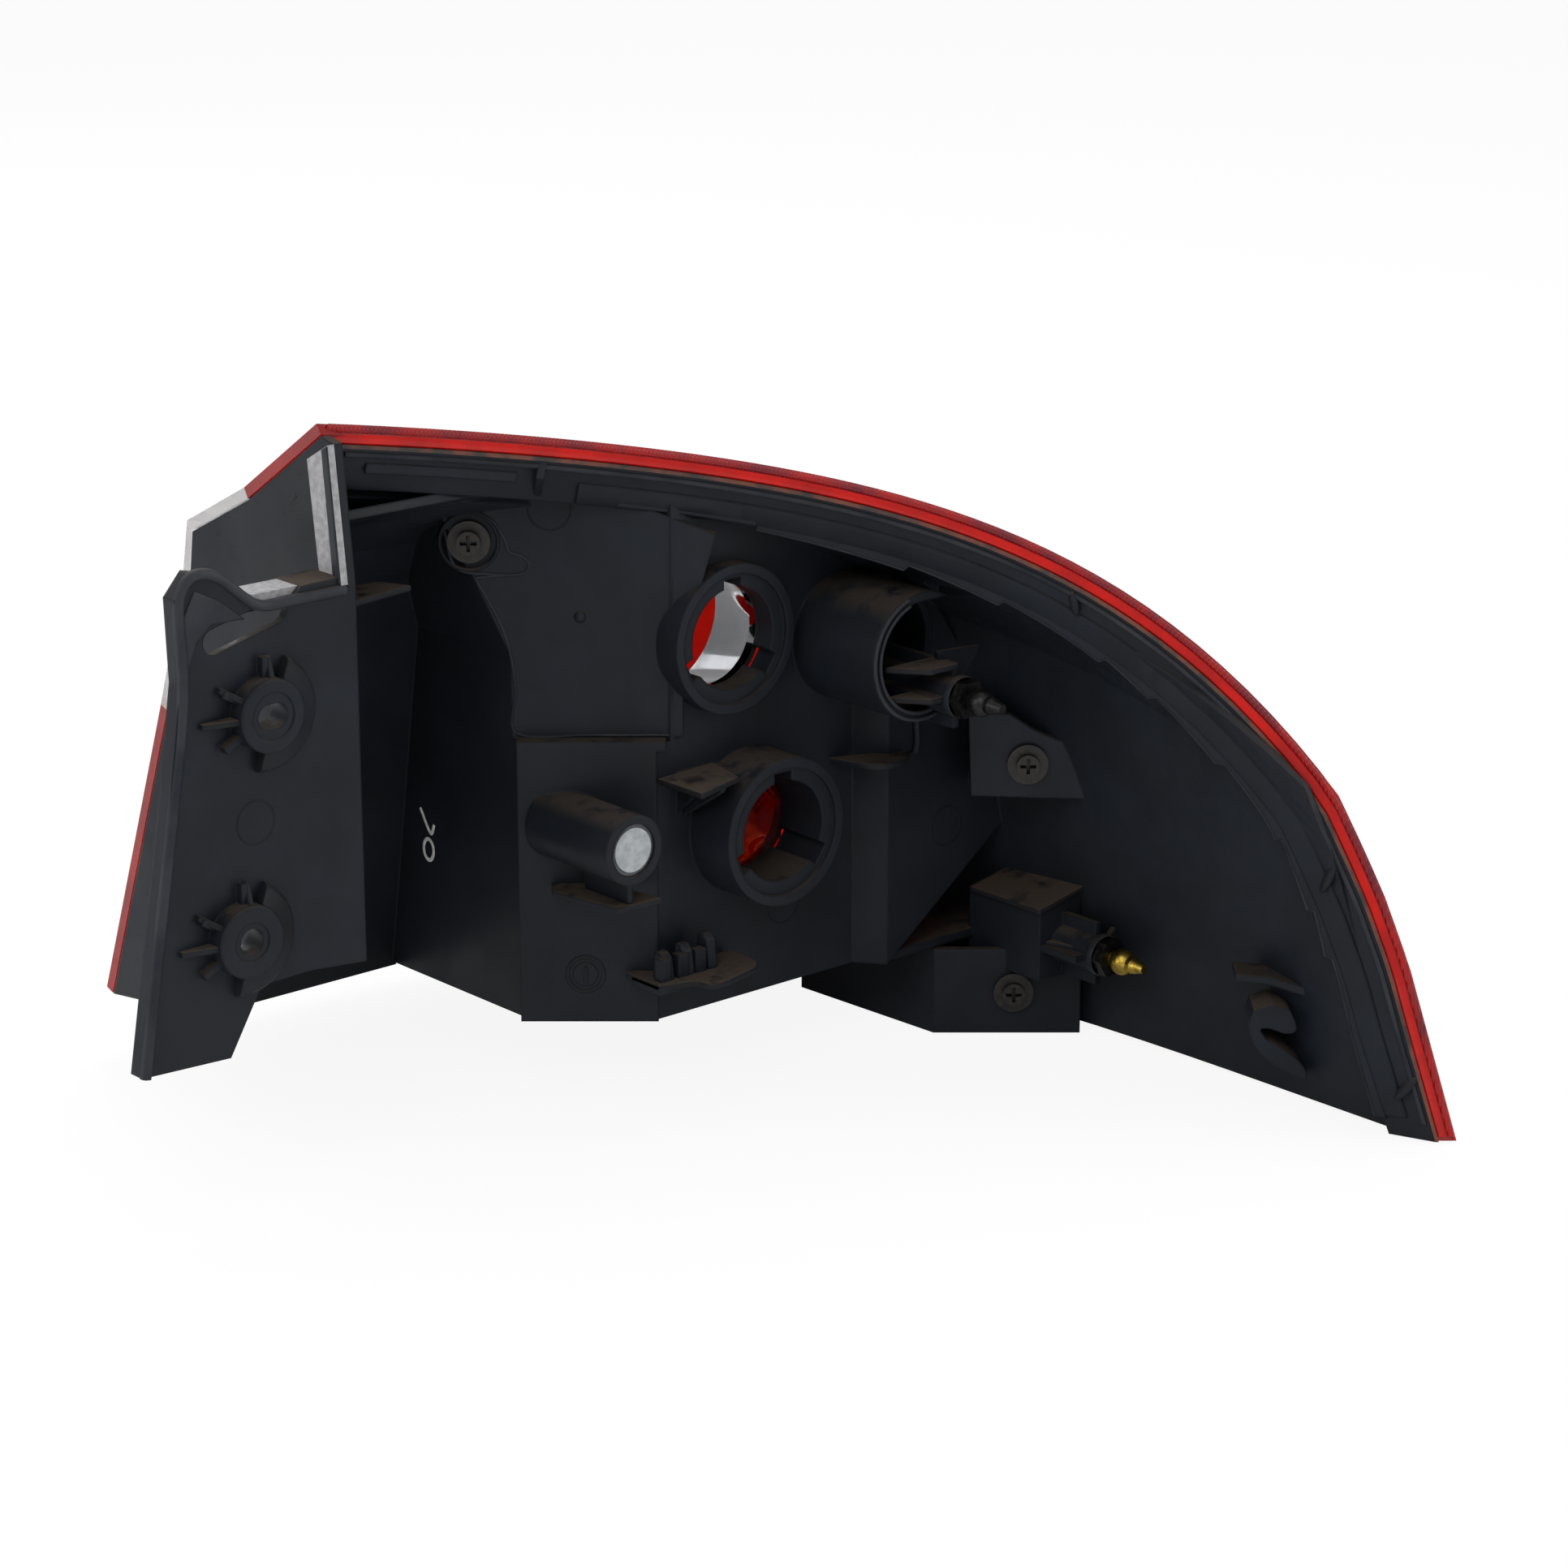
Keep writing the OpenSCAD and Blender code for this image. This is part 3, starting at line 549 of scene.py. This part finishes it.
class LAMP_OT_rim(bpy.types.Operator):
    """Bead, raised band and stepped lip of the rim band"""

    bl_idname = "lamp.rim"
    bl_label = "Rim band"

    def execute(self, context):
        r = context.scene.lamp_look.bead * 1000
        bead_at = 7.6
        s = np.linspace(0.03, 1.34, 260)
        at = edge(s) + edge_in(s) * bead_at + DEEP * (band_depth(bead_at) - 0.1)
        bead = carried(at, edge_in(s), DEEP, oval(r * 0.8, r))
        s2 = np.linspace(0.25, 1.335, 240)
        a = np.array([11.2, 11.7, 12.4, 17.2, 17.9, 18.1])
        d = band_depth(a) + np.array([0.3, -0.5, -0.9, -0.9, -0.5, 0.6])
        section = np.stack([a, d], -1)
        section = np.concatenate([section, [[18.1, 6.5], [11.2, 3.4]]])
        raised = carried(edge(s2), edge_in(s2), DEEP, section)
        # The bead is in the paler finish: a painted highlight of the rim's light edge line.
        moulded("rim_bead", bead, PAINTED_LIGHT, angle=60)
        moulded("rim_raised_band", raised, PLASTIC, angle=30)
        # The lip's inner edge widens slowly by 1.7 mm and jumps back at each of these shares of the rim.
        stops = np.array([0.43, 0.592, 0.695, 0.808, 0.863, 0.939, 1.02, 1.096, 1.148, 1.34])
        around = [stops[1:-1] - 0.0045, stops[1:-1] + 0.0005]
        k = np.unique(np.concatenate([np.linspace(0.431, 1.338, 300), *around]))
        i = np.searchsorted(stops, k, side="right") - 1
        part = (k - stops[i]) / (stops[i + 1] - stops[i])
        out = 0.4 + 1.7 * part * (part < 0.999) * np.clip((stops[i + 1] - k) / 0.004, 0, 1)
        low = np.where(k > 0.8, mix(13.0, 9.0, np.clip((k - 0.8) / 0.12, 0, 1)), 13.0)
        lip = np.array([[17.0, 4.2], [17.4, 3.7], [18.0, 4.2], [18.2, 5.2], [18.2, 13], [17.0, 13]])
        sec = np.repeat(lip[None], len(k), 0)
        sec[:, 2:5, 0] += out[:, None]
        sec[:, 4:, 1] = low[:, None]
        moulded("rim_steps", carried(edge(k), edge_in(k), DEEP, sec), PLASTIC, angle=30)
        # A thin rod in the paler finish along the step: a painted highlight of its light edge.
        line = edge(k) + edge_in(k) * (18.05 + out)[:, None] + DEEP * 4.3
        moulded("rim_step_edge", carried(line, edge_in(k), DEEP, oval(0.32, 0.32, 8)), PAINTED_LIGHT, angle=60)
        return {"FINISHED"}


class LAMP_OT_rim_ribs(bpy.types.Operator):
    """Small ribs and bars that stand on the rim band"""

    bl_idname = "lamp.rim_ribs"
    bl_label = "Rim ribs"

    def execute(self, context):
        parts = []
        # Each rib: where on the rim, how far in, how long and how high.
        for s0, a, length, high in ((0.753, 9.5, 7, 2.6), (1.067, 11.5, 9, 2.6), (1.299, 9.5, 9, 2.2)):
            k = np.linspace(-1, 1, 15)
            here, inward = edge(np.array([s0]))[0], edge_in(np.array([s0]))[0]
            along = np.cross(inward, DEEP)
            tilt = inward * 0.75 + along * 0.66
            path = here + inward * a + DEEP * (band_depth(a) - 0.4) + tilt * (k * length / 2)[:, None]
            swell = np.sqrt(1 - (0.96 * k) ** 2)
            sec = oval(1.3, high)[None] * swell[:, None, None]
            parts.append(carried(path, np.cross(unit(tilt), DEEP), DEEP, sec))
        moulded("rim_ribs", join(parts), DUSTY, angle=60)
        s0 = np.array([0.212])
        here, inward = edge(s0)[0], edge_in(s0)[0]
        along = np.cross(inward, DEEP)
        corners = ((6, -0.5), (10, -3.5), (16.5, 4.0), (16.5, 7), (6, 2))
        outline = [here + inward * a + DEEP * d for a, d in corners]
        moulded("rim_gusset", slab(np.array(outline) - along * 1.1, along * 2.2), PLASTIC, 0.5)
        bars = []
        # Each bar: its two sides from the edge, and where on the rim it starts and ends.
        for a0, a1, s0, s1 in ((9.5, 13.0, 0.05, 0.19), (15.2, 17.6, 0.29, 0.43)):
            k = np.linspace(s0, s1, 40)
            sec = np.array([[a0, 0.6], [a0 + 0.5, -1.0], [a1 - 0.5, -1.0], [a1, 0.6], [a1, 3], [a0, 3]])
            sec[:, 1] += band_depth((a0 + a1) / 2)
            bars.append(carried(edge(k), edge_in(k), DEEP, sec))
        moulded("rim_bars", join(bars), PLASTIC, angle=30)
        return {"FINISHED"}


class LAMP_OT_lens_edge(bpy.types.Operator):
    """Knurled outer bead and smooth bright inner band of the lens edge"""

    bl_idname = "lamp.lens_edge"
    bl_label = "Lens edge"

    def execute(self, context):
        s = np.linspace(0.01, 1.355, 300)
        bead = np.array([[0.0, 0.6], [0.1, -0.2], [0.7, -0.6], [1.6, -0.6], [2.2, -0.1], [2.2, 0.6]])
        knurl = carried(edge(s), edge_in(s), DEEP, bead)
        put("lens_knurl", *knurl, "red_acrylic_knurled", "lens_red", angle=60)
        band = np.array([[2.2, 0.5], [2.3, -0.25], [2.8, -0.5], [4.5, -0.5], [4.9, -0.2], [4.9, 0.5]])
        put("lens_band", *carried(edge(s), edge_in(s), DEEP, band), "red_acrylic_band", "lens_red", angle=30)
        return {"FINISHED"}


class LAMP_OT_plates(bpy.types.Operator):
    """Pocket ring, nub, dial ring and ledges of the wall plates"""

    bl_idname = "lamp.plates"
    bl_label = "Wall plates"

    def execute(self, context):
        front = -DEEP
        plate = -5  # depth of the wall plates' face
        c = mould(-83.2, plate, 81.3)
        ring = [(7.2, -0.6), (7.2, 0.5), (7.5, 0.9), (8.0, 0.7), (8.4, -0.6)]
        drop = [(-89.6, 84.4), (-86.7, 74.4), (-77.7, 72.6), (-69.6, 72.6), (-67.5, 75.3), (-69.5, 77.4),
                (-72.7, 78.7), (-73.9, 82.0), (-76.7, 86.6), (-81.5, 89.2), (-86.5, 88.3), (-89.6, 84.4)]
        left = [(-73.7, 72.3), (-80.2, 71.7), (-81.4, 71.0), (-78.4, 65.4), (-74.8, 57.7), (-72.8, 50.4),
                (-71.7, 41.1), (-71.4, 29.0), (-52.0, 28.6), (-31.0, 28.6)]
        # The plate edges are thin rods in the paler finish: painted highlight along the plates' light edge
        # lines.
        rims = []
        for line in (drop, left):
            u, z = np.array(line).T
            rims.append(rod(smooth_path(mould(u, -5.1, z), 120), 0.4, 8))
        moulded("plate_edges", join(rims), PAINTED_LIGHT, angle=60)
        moulded("screw_pocket_ring", turned(ring, c, front), DUSTY, angle=40)
        nub = [(0, 1.3), (0.7, 1.2), (1.3, 0.8), (1.6, 0), (1.6, -0.5), (0, -0.5)]
        dial = [(4.3, -0.3), (4.3, 0.25), (4.6, 0.45), (5.1, 0.45), (5.4, 0.25), (5.4, -0.3)]
        knob = [(0, 0.35), (3.2, 0.35), (3.5, 0.1), (3.5, -0.3), (0, -0.3)]
        at = mould(-54.0, -10, -36.8)
        pointer = slab(
            at + front * 0.3 + mould([-0.5, 0.5, 0.5, 0], 0, [-2.4, -2.4, 1.2, 2.6]), front * 0.5
        )
        moulded("plate_nub", turned(nub, mould(-54.4, plate, 60.9), front, 20), PLASTIC, angle=60)
        moulded(
            "mould_dial", join([turned(dial, at, front), turned(knob, at, front), pointer]), DUSTY, angle=30
        )
        # Ejector marks: rings barely proud, where the pins met the moulding.
        faint = [(5.2, -0.2), (5.3, 0.02), (5.6, 0.05), (5.9, 0.02), (6.0, -0.2)]
        marks = [
            turned(faint, (-152, 27, 28), (0, -1, 0)), turned(faint, (12.5, 16, -27), (0, -1, 0)),
            turned(faint, mould(-62.0, plate, 90.0), front), turned(faint, (66, 8, -14), (0, -1, 0)),
        ]
        moulded("ejector_marks", join(marks), PLASTIC, angle=30)
        z = -10.9
        shelf = np.array([
            [-53.8, 33.8, z], [-42.7, 24.1, z], [-39.7, 4.4, z], [-54.3, 4.7, z], [-58, 28.4, z]
        ])
        web = np.array([[-50.2, 24, z], [-50.2, 6, z], [-50.2, 6, -3], [-50.2, 26, -3]])
        moulded("breather_shelf", slab(shelf, (0, 0, -1.7)), DUSTY, 0.4)
        moulded("breather_web", slab(web, (1.8, 0, 0)), PLASTIC, 0.3)
        z = 18.4
        wedge = np.array([[-33, 14.5, z], [-12, 16.5, z], [-15.5, 1.5, z], [-33, -4.0, z]])
        rib = np.array([[-23, 16.5, 5], [-23, 16.5, z - 1], [-23, -0.5, z - 1], [-23, 0.5, z - 3]])
        moulded("wedge_shelf", slab(wedge, (0, 0, -1.7)), DUSTY, 0.4)
        moulded("wedge_rib", slab(rib, (1.8, 0, 0)), PLASTIC, 0.3)
        z = -35.4
        hook = smooth_path(
            [(-38, 19.5, z), (-31.5, 14.0, z), (-20.2, 13.6, z), (-8, 14.5, z), (-9, 1.7, z), (-19, -2.5, z),
             (-29, -3.9, z), (-31.5, 1.5, z), (-41, 4.5, z)], 48,
        )
        moulded("clip_shelf", slab(np.concatenate([hook, [(-41, 19, z)]]), (0, 0, -1.6)), DUSTY, 0.4)
        fingers = []
        for x, h in ((-37.5, 7.4), (-30.5, 8.2), (-22.5, 9.6)):
            p = np.array([
                [x, 12, z - 0.5], [x, 6, z - 0.5], [x, 7, z + h - 1.5], [x, 8.5, z + h], [x, 11, z + h]
            ])
            fingers.append(slab(p, (3.4, 0, 0)))
        moulded("clip_fingers", join(fingers), PLASTIC, 0.7)
        trough = np.array([[-120, 36, 76], [-120, 52, 76], [-96, 50, 76], [-92, 41, 76]])
        moulded("trough_shelf", slab(trough, (0, 0, -1.6)), DUSTY, 0.4)
        return {"FINISHED"}


class LAMP_OT_socket(bpy.types.Operator):
    """Rim of the big socket, ledges under it, and the supports of both locating studs"""

    bl_idname = "lamp.socket"
    bl_label = "Socket and stud supports"

    def execute(self, context):
        # The lip is two thin rods in the paler finish: painted highlight of the socket rim's two light lines.
        x, mouth, z = 34, -16.4, 46
        t = np.radians(np.linspace(108, 285, 60))
        lips = []
        for r, thick in ((17.3, 0.55), (15.4, 0.5)):
            arc = np.stack([x + r * np.cos(t), np.full_like(t, mouth), z + r * np.sin(t)], -1)
            lips.append(rod(np.concatenate([arc, [(50.5, mouth, arc[-1, 2])]]), thick))
        moulded("socket_lip", join(lips), PAINTED_LIGHT, angle=60)
        z = 11.4
        front = smooth_path([(30.5, 12, z), (33, 4, z), (38, 0.6, z), (46, 2.2, z), (50, 8.5, z)], 24)
        ledge = np.concatenate([[(29, 17, z)], front])
        moulded("socket_ledge", slab(ledge, (0, 0, -1.6)), DUSTY, 0.4)
        bend = smooth_path(
            [(53.5, 7.4, 22), (54.2, 7.4, 14), (53.4, 7.4, 10), (50.5, 7.4, 9.2), (44.5, 7.4, 9.6)], 30
        )
        moulded("socket_corner_rib", rod(bend, 1.1), PLASTIC, angle=60)
        shelf = np.array([[40, 9, 58.6], [40, 3.5, 58.6], [71, 3.5, 52.8], [71, 9, 52.8]])
        moulded("socket_top_shelf", slab(shelf, (0, 0, -1.5)), DUSTY, 0.4)
        y = -18.0
        wing = np.array([[38, y, 47], [54, y, 46], [47, y, 36], [40, y, 35]])
        web = np.array([[22, -14, 36.4], [40, -14, 36.4], [40, -24, 36.4], [30, -24, 36.4]])
        web2 = web + np.array([0, 0, 8.2])
        moulded("upper_stud_wing", slab(wing, (0, 2, 0)), PLASTIC, 0.4)
        moulded("upper_stud_webs", join([slab(web, (0, 0, -1.6)), slab(web2, (0, 0, -1.6))]), DUSTY, 0.4)
        collar = [(3.2, 0), (5.6, 0), (5.9, 0.6), (5.9, 2.2), (5.4, 2.8), (3.2, 2.8)]
        moulded("stud_collars", join([
            turned(collar, STUD_UPPER, BACKWARD, 32), turned(collar, STUD_LOWER, BACKWARD, 32)
        ]), PLASTIC, angle=30)
        lid = np.array([[76.5, 9, -34.4], [95.6, 9, -30.6], [95.6, -19.2, -30.6], [76.5, -19.2, -34.4]])
        moulded("stud_box_lid", slab(lid, (0.2, 0, -1.6)), DUSTY, 0.5)
        wings = [
            slab(np.array([[91, -30, -45], [97, -30, -40], [102.2, -30, -44], [94, -30, -48]]), (0, 2, 0)),
            slab(np.array([[88, -18, -39.5], [88, -30, -40.5], [88, -30, -44], [88, -18, -46]]), (1.6, 0, 0)),
            slab(np.array([[80, -18, -46], [84, -30, -46], [92, -30, -46], [96, -18, -46]]), (0, 0, 1.6)),
        ]
        moulded("lower_stud_wings", join(wings), DUSTY, 0.4)
        return {"FINISHED"}


class LAMP_OT_pane(bpy.types.Operator):
    """Fluted pane over the mouth of the tail bowl. Its far side is a sine, 0.5 mm high and 4 mm long"""

    bl_idname = "lamp.pane"
    bl_label = "Fluted pane"

    def execute(self, context):
        left, near, low, high, width = 4.0, 68.8, -42.0, 20.0, 54
        z = np.linspace(low, high, 125)
        far = np.stack([np.full_like(z, left), 70 + 0.5 * np.sin(math.pi * z / 2), z], -1)
        outline = np.concatenate([far, [(left, near, high), (left, near, low)]])
        shape = slab(outline, (width, 0, 0))
        put("tail_fluted_pane", *shape, "amber_polycarbonate", "amber", angle=30)
        return {"FINISHED"}


class LAMP_OT_bracket(bpy.types.Operator):
    """Rolled edge of the fixing bracket and the webs round its bosses"""

    bl_idname = "lamp.bracket"
    bl_label = "Bracket"

    def execute(self, context):
        # The rolled edge is real in shape; its paler finish is a painted highlight along the bracket's rim.
        outline = [(-188.5, -31), (-183, 2), (-177, 37), (-174, 55), (-172.7, 70), (-173.2, 87), (-170.5, 93),
                   (-166, 94), (-160.5, 91.5), (-150.5, 83.6), (-140, 83), (-124, 83)]
        path = smooth_path([(x + 1.4, 26.9, z - 0.4) for x, z in outline], 140)
        g = unit(np.gradient(path, axis=0))
        front = np.array([0.0, -1, 0])
        flat = np.array([[-1.6, -0.9], [-1.4, 0.3], [-0.8, 0.8], [0.6, 0.8], [1.1, 0.3], [1.2, -0.9]])
        moulded("bracket_rolled_edge", carried(path, np.cross(g, front), front, flat), PAINTED_LIGHT, angle=40)
        lip = np.array([(-138, 27.6, 83.0), (-135, 27.6, 85.9), (-121.8, 27.6, 86.2), (-121.8, 27.6, 83.0)])
        # A thin sheet in the paler finish over the right part of the foam strip: painted shade where the
        # strip turns away from the light.
        x = -124.05
        bevel = np.array([(x, 26.8, 84.0), (x, 30.7, 118.9), (x, 33.2, 117.6), (x, 29.7, 84.0)])
        moulded("ridge_painted_shade", slab(bevel, (-0.45, 0, 0)), PAINTED_LIGHT, 0.2)
        moulded("bracket_top_return", slab(lip, (0, 11.4, 0)), DUSTY, 0.5)
        # The ear face is a thin sheet in the paler finish: a painted highlight where the light band widens on
        # the ear.
        ear = np.array([(-170.6, 27.2, 70), (-170.9, 27.2, 84), (-167.5, 27.2, 90), (-160.5, 27.2, 86.5),
                        (-153, 27.2, 80.5), (-163, 27.2, 80.8), (-167.3, 27.2, 77)])
        moulded("bracket_ear_face", slab(ear, (0, -0.6, 0)), PAINTED_LIGHT, 0.3)
        # Three webs stand round each boss, and a sector of skirt takes up its right side.
        webs, skirts = [], []
        for bx, bz, _ in BOSSES:
            for a, far in ((84, 14.5), (148, 15.5), (181, 18.5)):
                c, s = math.cos(math.radians(a)), math.sin(math.radians(a))
                p = np.array([[bx + c * 8.4, 22.6, bz + s * 8.4], [bx + c * 8.4, 28, bz + s * 8.4],
                              [bx + c * far, 28, bz + s * far], [bx + c * far, 25.4, bz + s * far]])
                off = np.array([-s, 0, c]) * 1.5
                webs.append(slab(p - off / 2, off))
            t = np.radians(np.linspace(-100, 62, 36))[:, None, None]
            skirt = np.array([[9.2, 1.0], [10.2, 1.7], [13.9, 2.3], [14.9, 3.2], [15.2, 5.3], [9.2, 5.3]])
            ray = np.concatenate([np.cos(t), 0 * t, np.sin(t)], -1)
            grid = np.array([bx, BOSS_Y, bz]) + ray * skirt[None, :, :1]
            grid = grid + np.array(BACKWARD, float) * skirt[None, :, 1:]
            skirts.append((grid.reshape(-1, 3), loops(len(ray), len(skirt))))
        moulded("boss_skirts", join(skirts), DUSTY, angle=50)
        moulded("boss_webs", join(webs), DUSTY, 0.3)
        rings = []
        for bx, bz, hole in BOSSES:
            lip = [(hole + 1.4, 0.4), (hole + 1.6, -0.35), (hole + 2.6, -0.5), (9.2, -0.3), (9.6, 0.5)]
            rings.append(turned(lip, (bx, BOSS_Y, bz), BACKWARD))
        moulded("boss_faces", join(rings), PLASTIC, angle=40)
        return {"FINISHED"}


class LAMP_OT_claw(bpy.types.Operator):
    """Claw hook near the tip and the roof of the pocket that it stands in"""

    bl_idname = "lamp.claw"
    bl_label = "Claw hook"

    def execute(self, context):
        # Outlines along and up the mould: the hook's outer side, its inner side and the lobe at its root.
        outer = [
            (125.3, -46.5), (124.3, -50.6), (125.6, -56.0), (129.3, -60.6), (133.3, -63.5), (139.2, -66.2)
        ]
        inner = [
            (140.4, -65.2), (138.7, -61.8), (135.9, -59.3), (132.3, -56.8), (129.1, -54.8), (127.4, -51.9)
        ]
        lobe = [
            (130.6, -51.9), (133.7, -53.1), (136.6, -52.7), (136.9, -50.6), (135.9, -48.1),
            (134.6, -46.1), (130.2, -44.8)
        ]
        path = smooth_path([(u, 0, z) for u, z in outer + inner + lobe], 90)
        moulded("claw_hook", slab(mould(path[:, 0], -12.0, path[:, 2]), DEEP * 12.6), DUSTY, 0.6)
        roof = [
            (120.5, -37.2), (130.0, -38.2), (142.0, -41.6), (144.6, -44.6), (143.6, -46.0),
            (140.0, -44.0), (129.5, -40.4), (120.5, -39.2)
        ]
        u, z = np.array(roof).T
        # The roof ends short of the lens towards the tip.
        depth = np.interp(u, [130, 136, 140, 142, 144.8], [11, 9.5, 5.5, 2.5, 0.9])[:, None]
        moulded("claw_pocket_roof", slab(mould(u, -9.0, z), DEEP * depth), PLASTIC, 0.4)
        return {"FINISHED"}


class LAMP_OT_mark(bpy.types.Operator):
    """Inspector's ring and tick in paint pen on the trough's wall"""

    bl_idname = "lamp.mark"
    bl_label = "Paint mark"

    def execute(self, context):
        x = -58.15
        t = np.linspace(0, 2 * math.pi, 41)
        ring = np.stack([np.full_like(t, x), 82.6 + 2.2 * np.cos(t), -12.6 + 3.0 * np.sin(t)], -1)
        tick = smooth_path([(x, 79.8, -5.0), (x, 81.6, -7.6), (x, 86.0, -1.4)], 24)
        flat = np.array([-1.0, 0, 0])
        pieces = []
        for path in (ring, tick):
            g = unit(np.gradient(path, axis=0))
            pieces.append(carried(path, np.cross(g, flat), flat, oval(0.55, 0.12, 8)))
        put("paint_mark", *join(pieces), "paint_pen", "plug_white", angle=60)
        return {"FINISHED"}


def for_camera(t, seen, otherwise):
    """One value where the camera looks, straight or through clear parts, and another for all other rays."""
    path = wire(t, "ShaderNodeLightPath").outputs
    direct = calc(t, "MAXIMUM", path["Is Camera Ray"], path["Is Transmission Ray"])
    return wire(t, "ShaderNodeMapRange", {"Value": direct, "To Min": otherwise, "To Max": seen}).outputs[0]


class LAMP_OT_studio(bpy.types.Operator):
    """Camera, soft lights and a plain pale floor"""

    bl_idname = "lamp.studio"
    bl_label = "Studio"

    def execute(self, context):
        scene = context.scene
        power = scene.lamp_look.light
        cam = bpy.data.objects.new("camera", bpy.data.cameras.new("camera"))
        scene.collection.objects.link(cam)
        cam.data.lens, cam.data.sensor_width, cam.data.sensor_fit = 100.6, 36.0, "HORIZONTAL"
        cam.location = (-0.5796, -0.8629, 0.3584)
        cam.rotation_euler = Vector((0.6296, 0.7191, -0.2940)).to_track_quat("-Z", "Y").to_euler()
        cam.data.clip_start, cam.data.clip_end = 0.05, 50
        scene.camera = cam
        centre = Vector((0.13, 0.02, 0.02))
        for name, place, size, watts in (
            ("light_key", (-1.1, -0.9, 1.3), 1.1, 10), ("light_top", (0.5, 0.3, 1.7), 1.3, 14),
            ("light_side", (1.2, -1.0, 0.5), 0.8, 6), ("light_back", (0.3, 1.5, 0.9), 1.0, 8),
            ("light_left", (-1.6, 0.4, 0.6), 0.9, 8),
        ):
            lamp = bpy.data.lights.new(name, "AREA")
            lamp.shape, lamp.size, lamp.energy = "DISK", size, watts * power
            obj = bpy.data.objects.new(name, lamp)
            obj.location = place
            obj.rotation_euler = (centre - Vector(place)).to_track_quat("-Z", "Y").to_euler()
            scene.collection.objects.link(obj)
        world = bpy.data.worlds.new("studio")
        scene.world = world
        world.use_nodes = True
        t = world.node_tree
        t.nodes.clear()
        bright = for_camera(t, 1.0, 0.62 * power)
        back = wire(t, "ShaderNodeBackground", {"Color": (1, 1, 1, 1), "Strength": bright})
        t.links.new(back.outputs[0], wire(t, "ShaderNodeOutputWorld").inputs[0])
        mesh = bpy.data.meshes.new("floor")
        half, z = 6.0, CAD_BOX[0][2]
        corners = [(-half, -half, z), (half, -half, z), (half, half, z), (-half, half, z)]
        mesh.from_pydata(corners, [], [(0, 1, 2, 3)])
        floor = bpy.data.objects.new("floor", mesh)
        scene.collection.objects.link(floor)
        m = bpy.data.materials.new("pale_floor")
        m.use_nodes = True
        t = m.node_tree
        t.nodes.clear()
        dull = wire(t, "ShaderNodeBsdfDiffuse", {"Color": (0.85, 0.85, 0.85, 1)})
        glow = wire(t, "ShaderNodeEmission", {"Color": (1, 1, 1, 1), "Strength": 1.0})
        share = for_camera(t, 0.9, 0.0)
        mixed = wire(t, "ShaderNodeMixShader", {0: share, 1: dull.outputs[0], 2: glow.outputs[0]})
        t.links.new(mixed.outputs[0], wire(t, "ShaderNodeOutputMaterial").inputs[0])
        mesh.materials.append(m)
        scene.view_settings.view_transform = "Standard"
        return {"FINISHED"}


STEPS = (
    LAMP_OT_finishes, LAMP_OT_studio, LAMP_OT_rim, LAMP_OT_rim_ribs, LAMP_OT_lens_edge, LAMP_OT_plates,
    LAMP_OT_socket, LAMP_OT_pane, LAMP_OT_bracket, LAMP_OT_claw, LAMP_OT_mark,
)


class LAMP_PT_panel(bpy.types.Panel):
    """The lamp's settings and steps in the sidebar"""

    bl_idname = "LAMP_PT_panel"
    bl_label = "Rear corner lamp"
    bl_space_type = "VIEW_3D"
    bl_region_type = "UI"
    bl_category = "Lamp"

    def draw(self, context):
        for name in ("gloss", "lens_hex", "bead", "light"):
            self.layout.prop(context.scene.lamp_look, name)
        for step in STEPS:
            self.layout.operator(step.bl_idname)


CLASSES = (LampLook, *STEPS, LAMP_PT_panel)


def register():
    """Registers the classes and puts the settings on the scene."""
    for cls in CLASSES:
        bpy.utils.register_class(cls)
    bpy.types.Scene.lamp_look = bpy.props.PointerProperty(type=LampLook)


def unregister():
    """Undoes register."""
    del bpy.types.Scene.lamp_look
    for cls in reversed(CLASSES):
        bpy.utils.unregister_class(cls)


def main():
    """Makes the whole lamp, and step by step."""
    register()
    for step in STEPS:
        group, call = step.bl_idname.split(".")
        getattr(getattr(bpy.ops, group), call)()


if __name__ == "__main__":
    main()
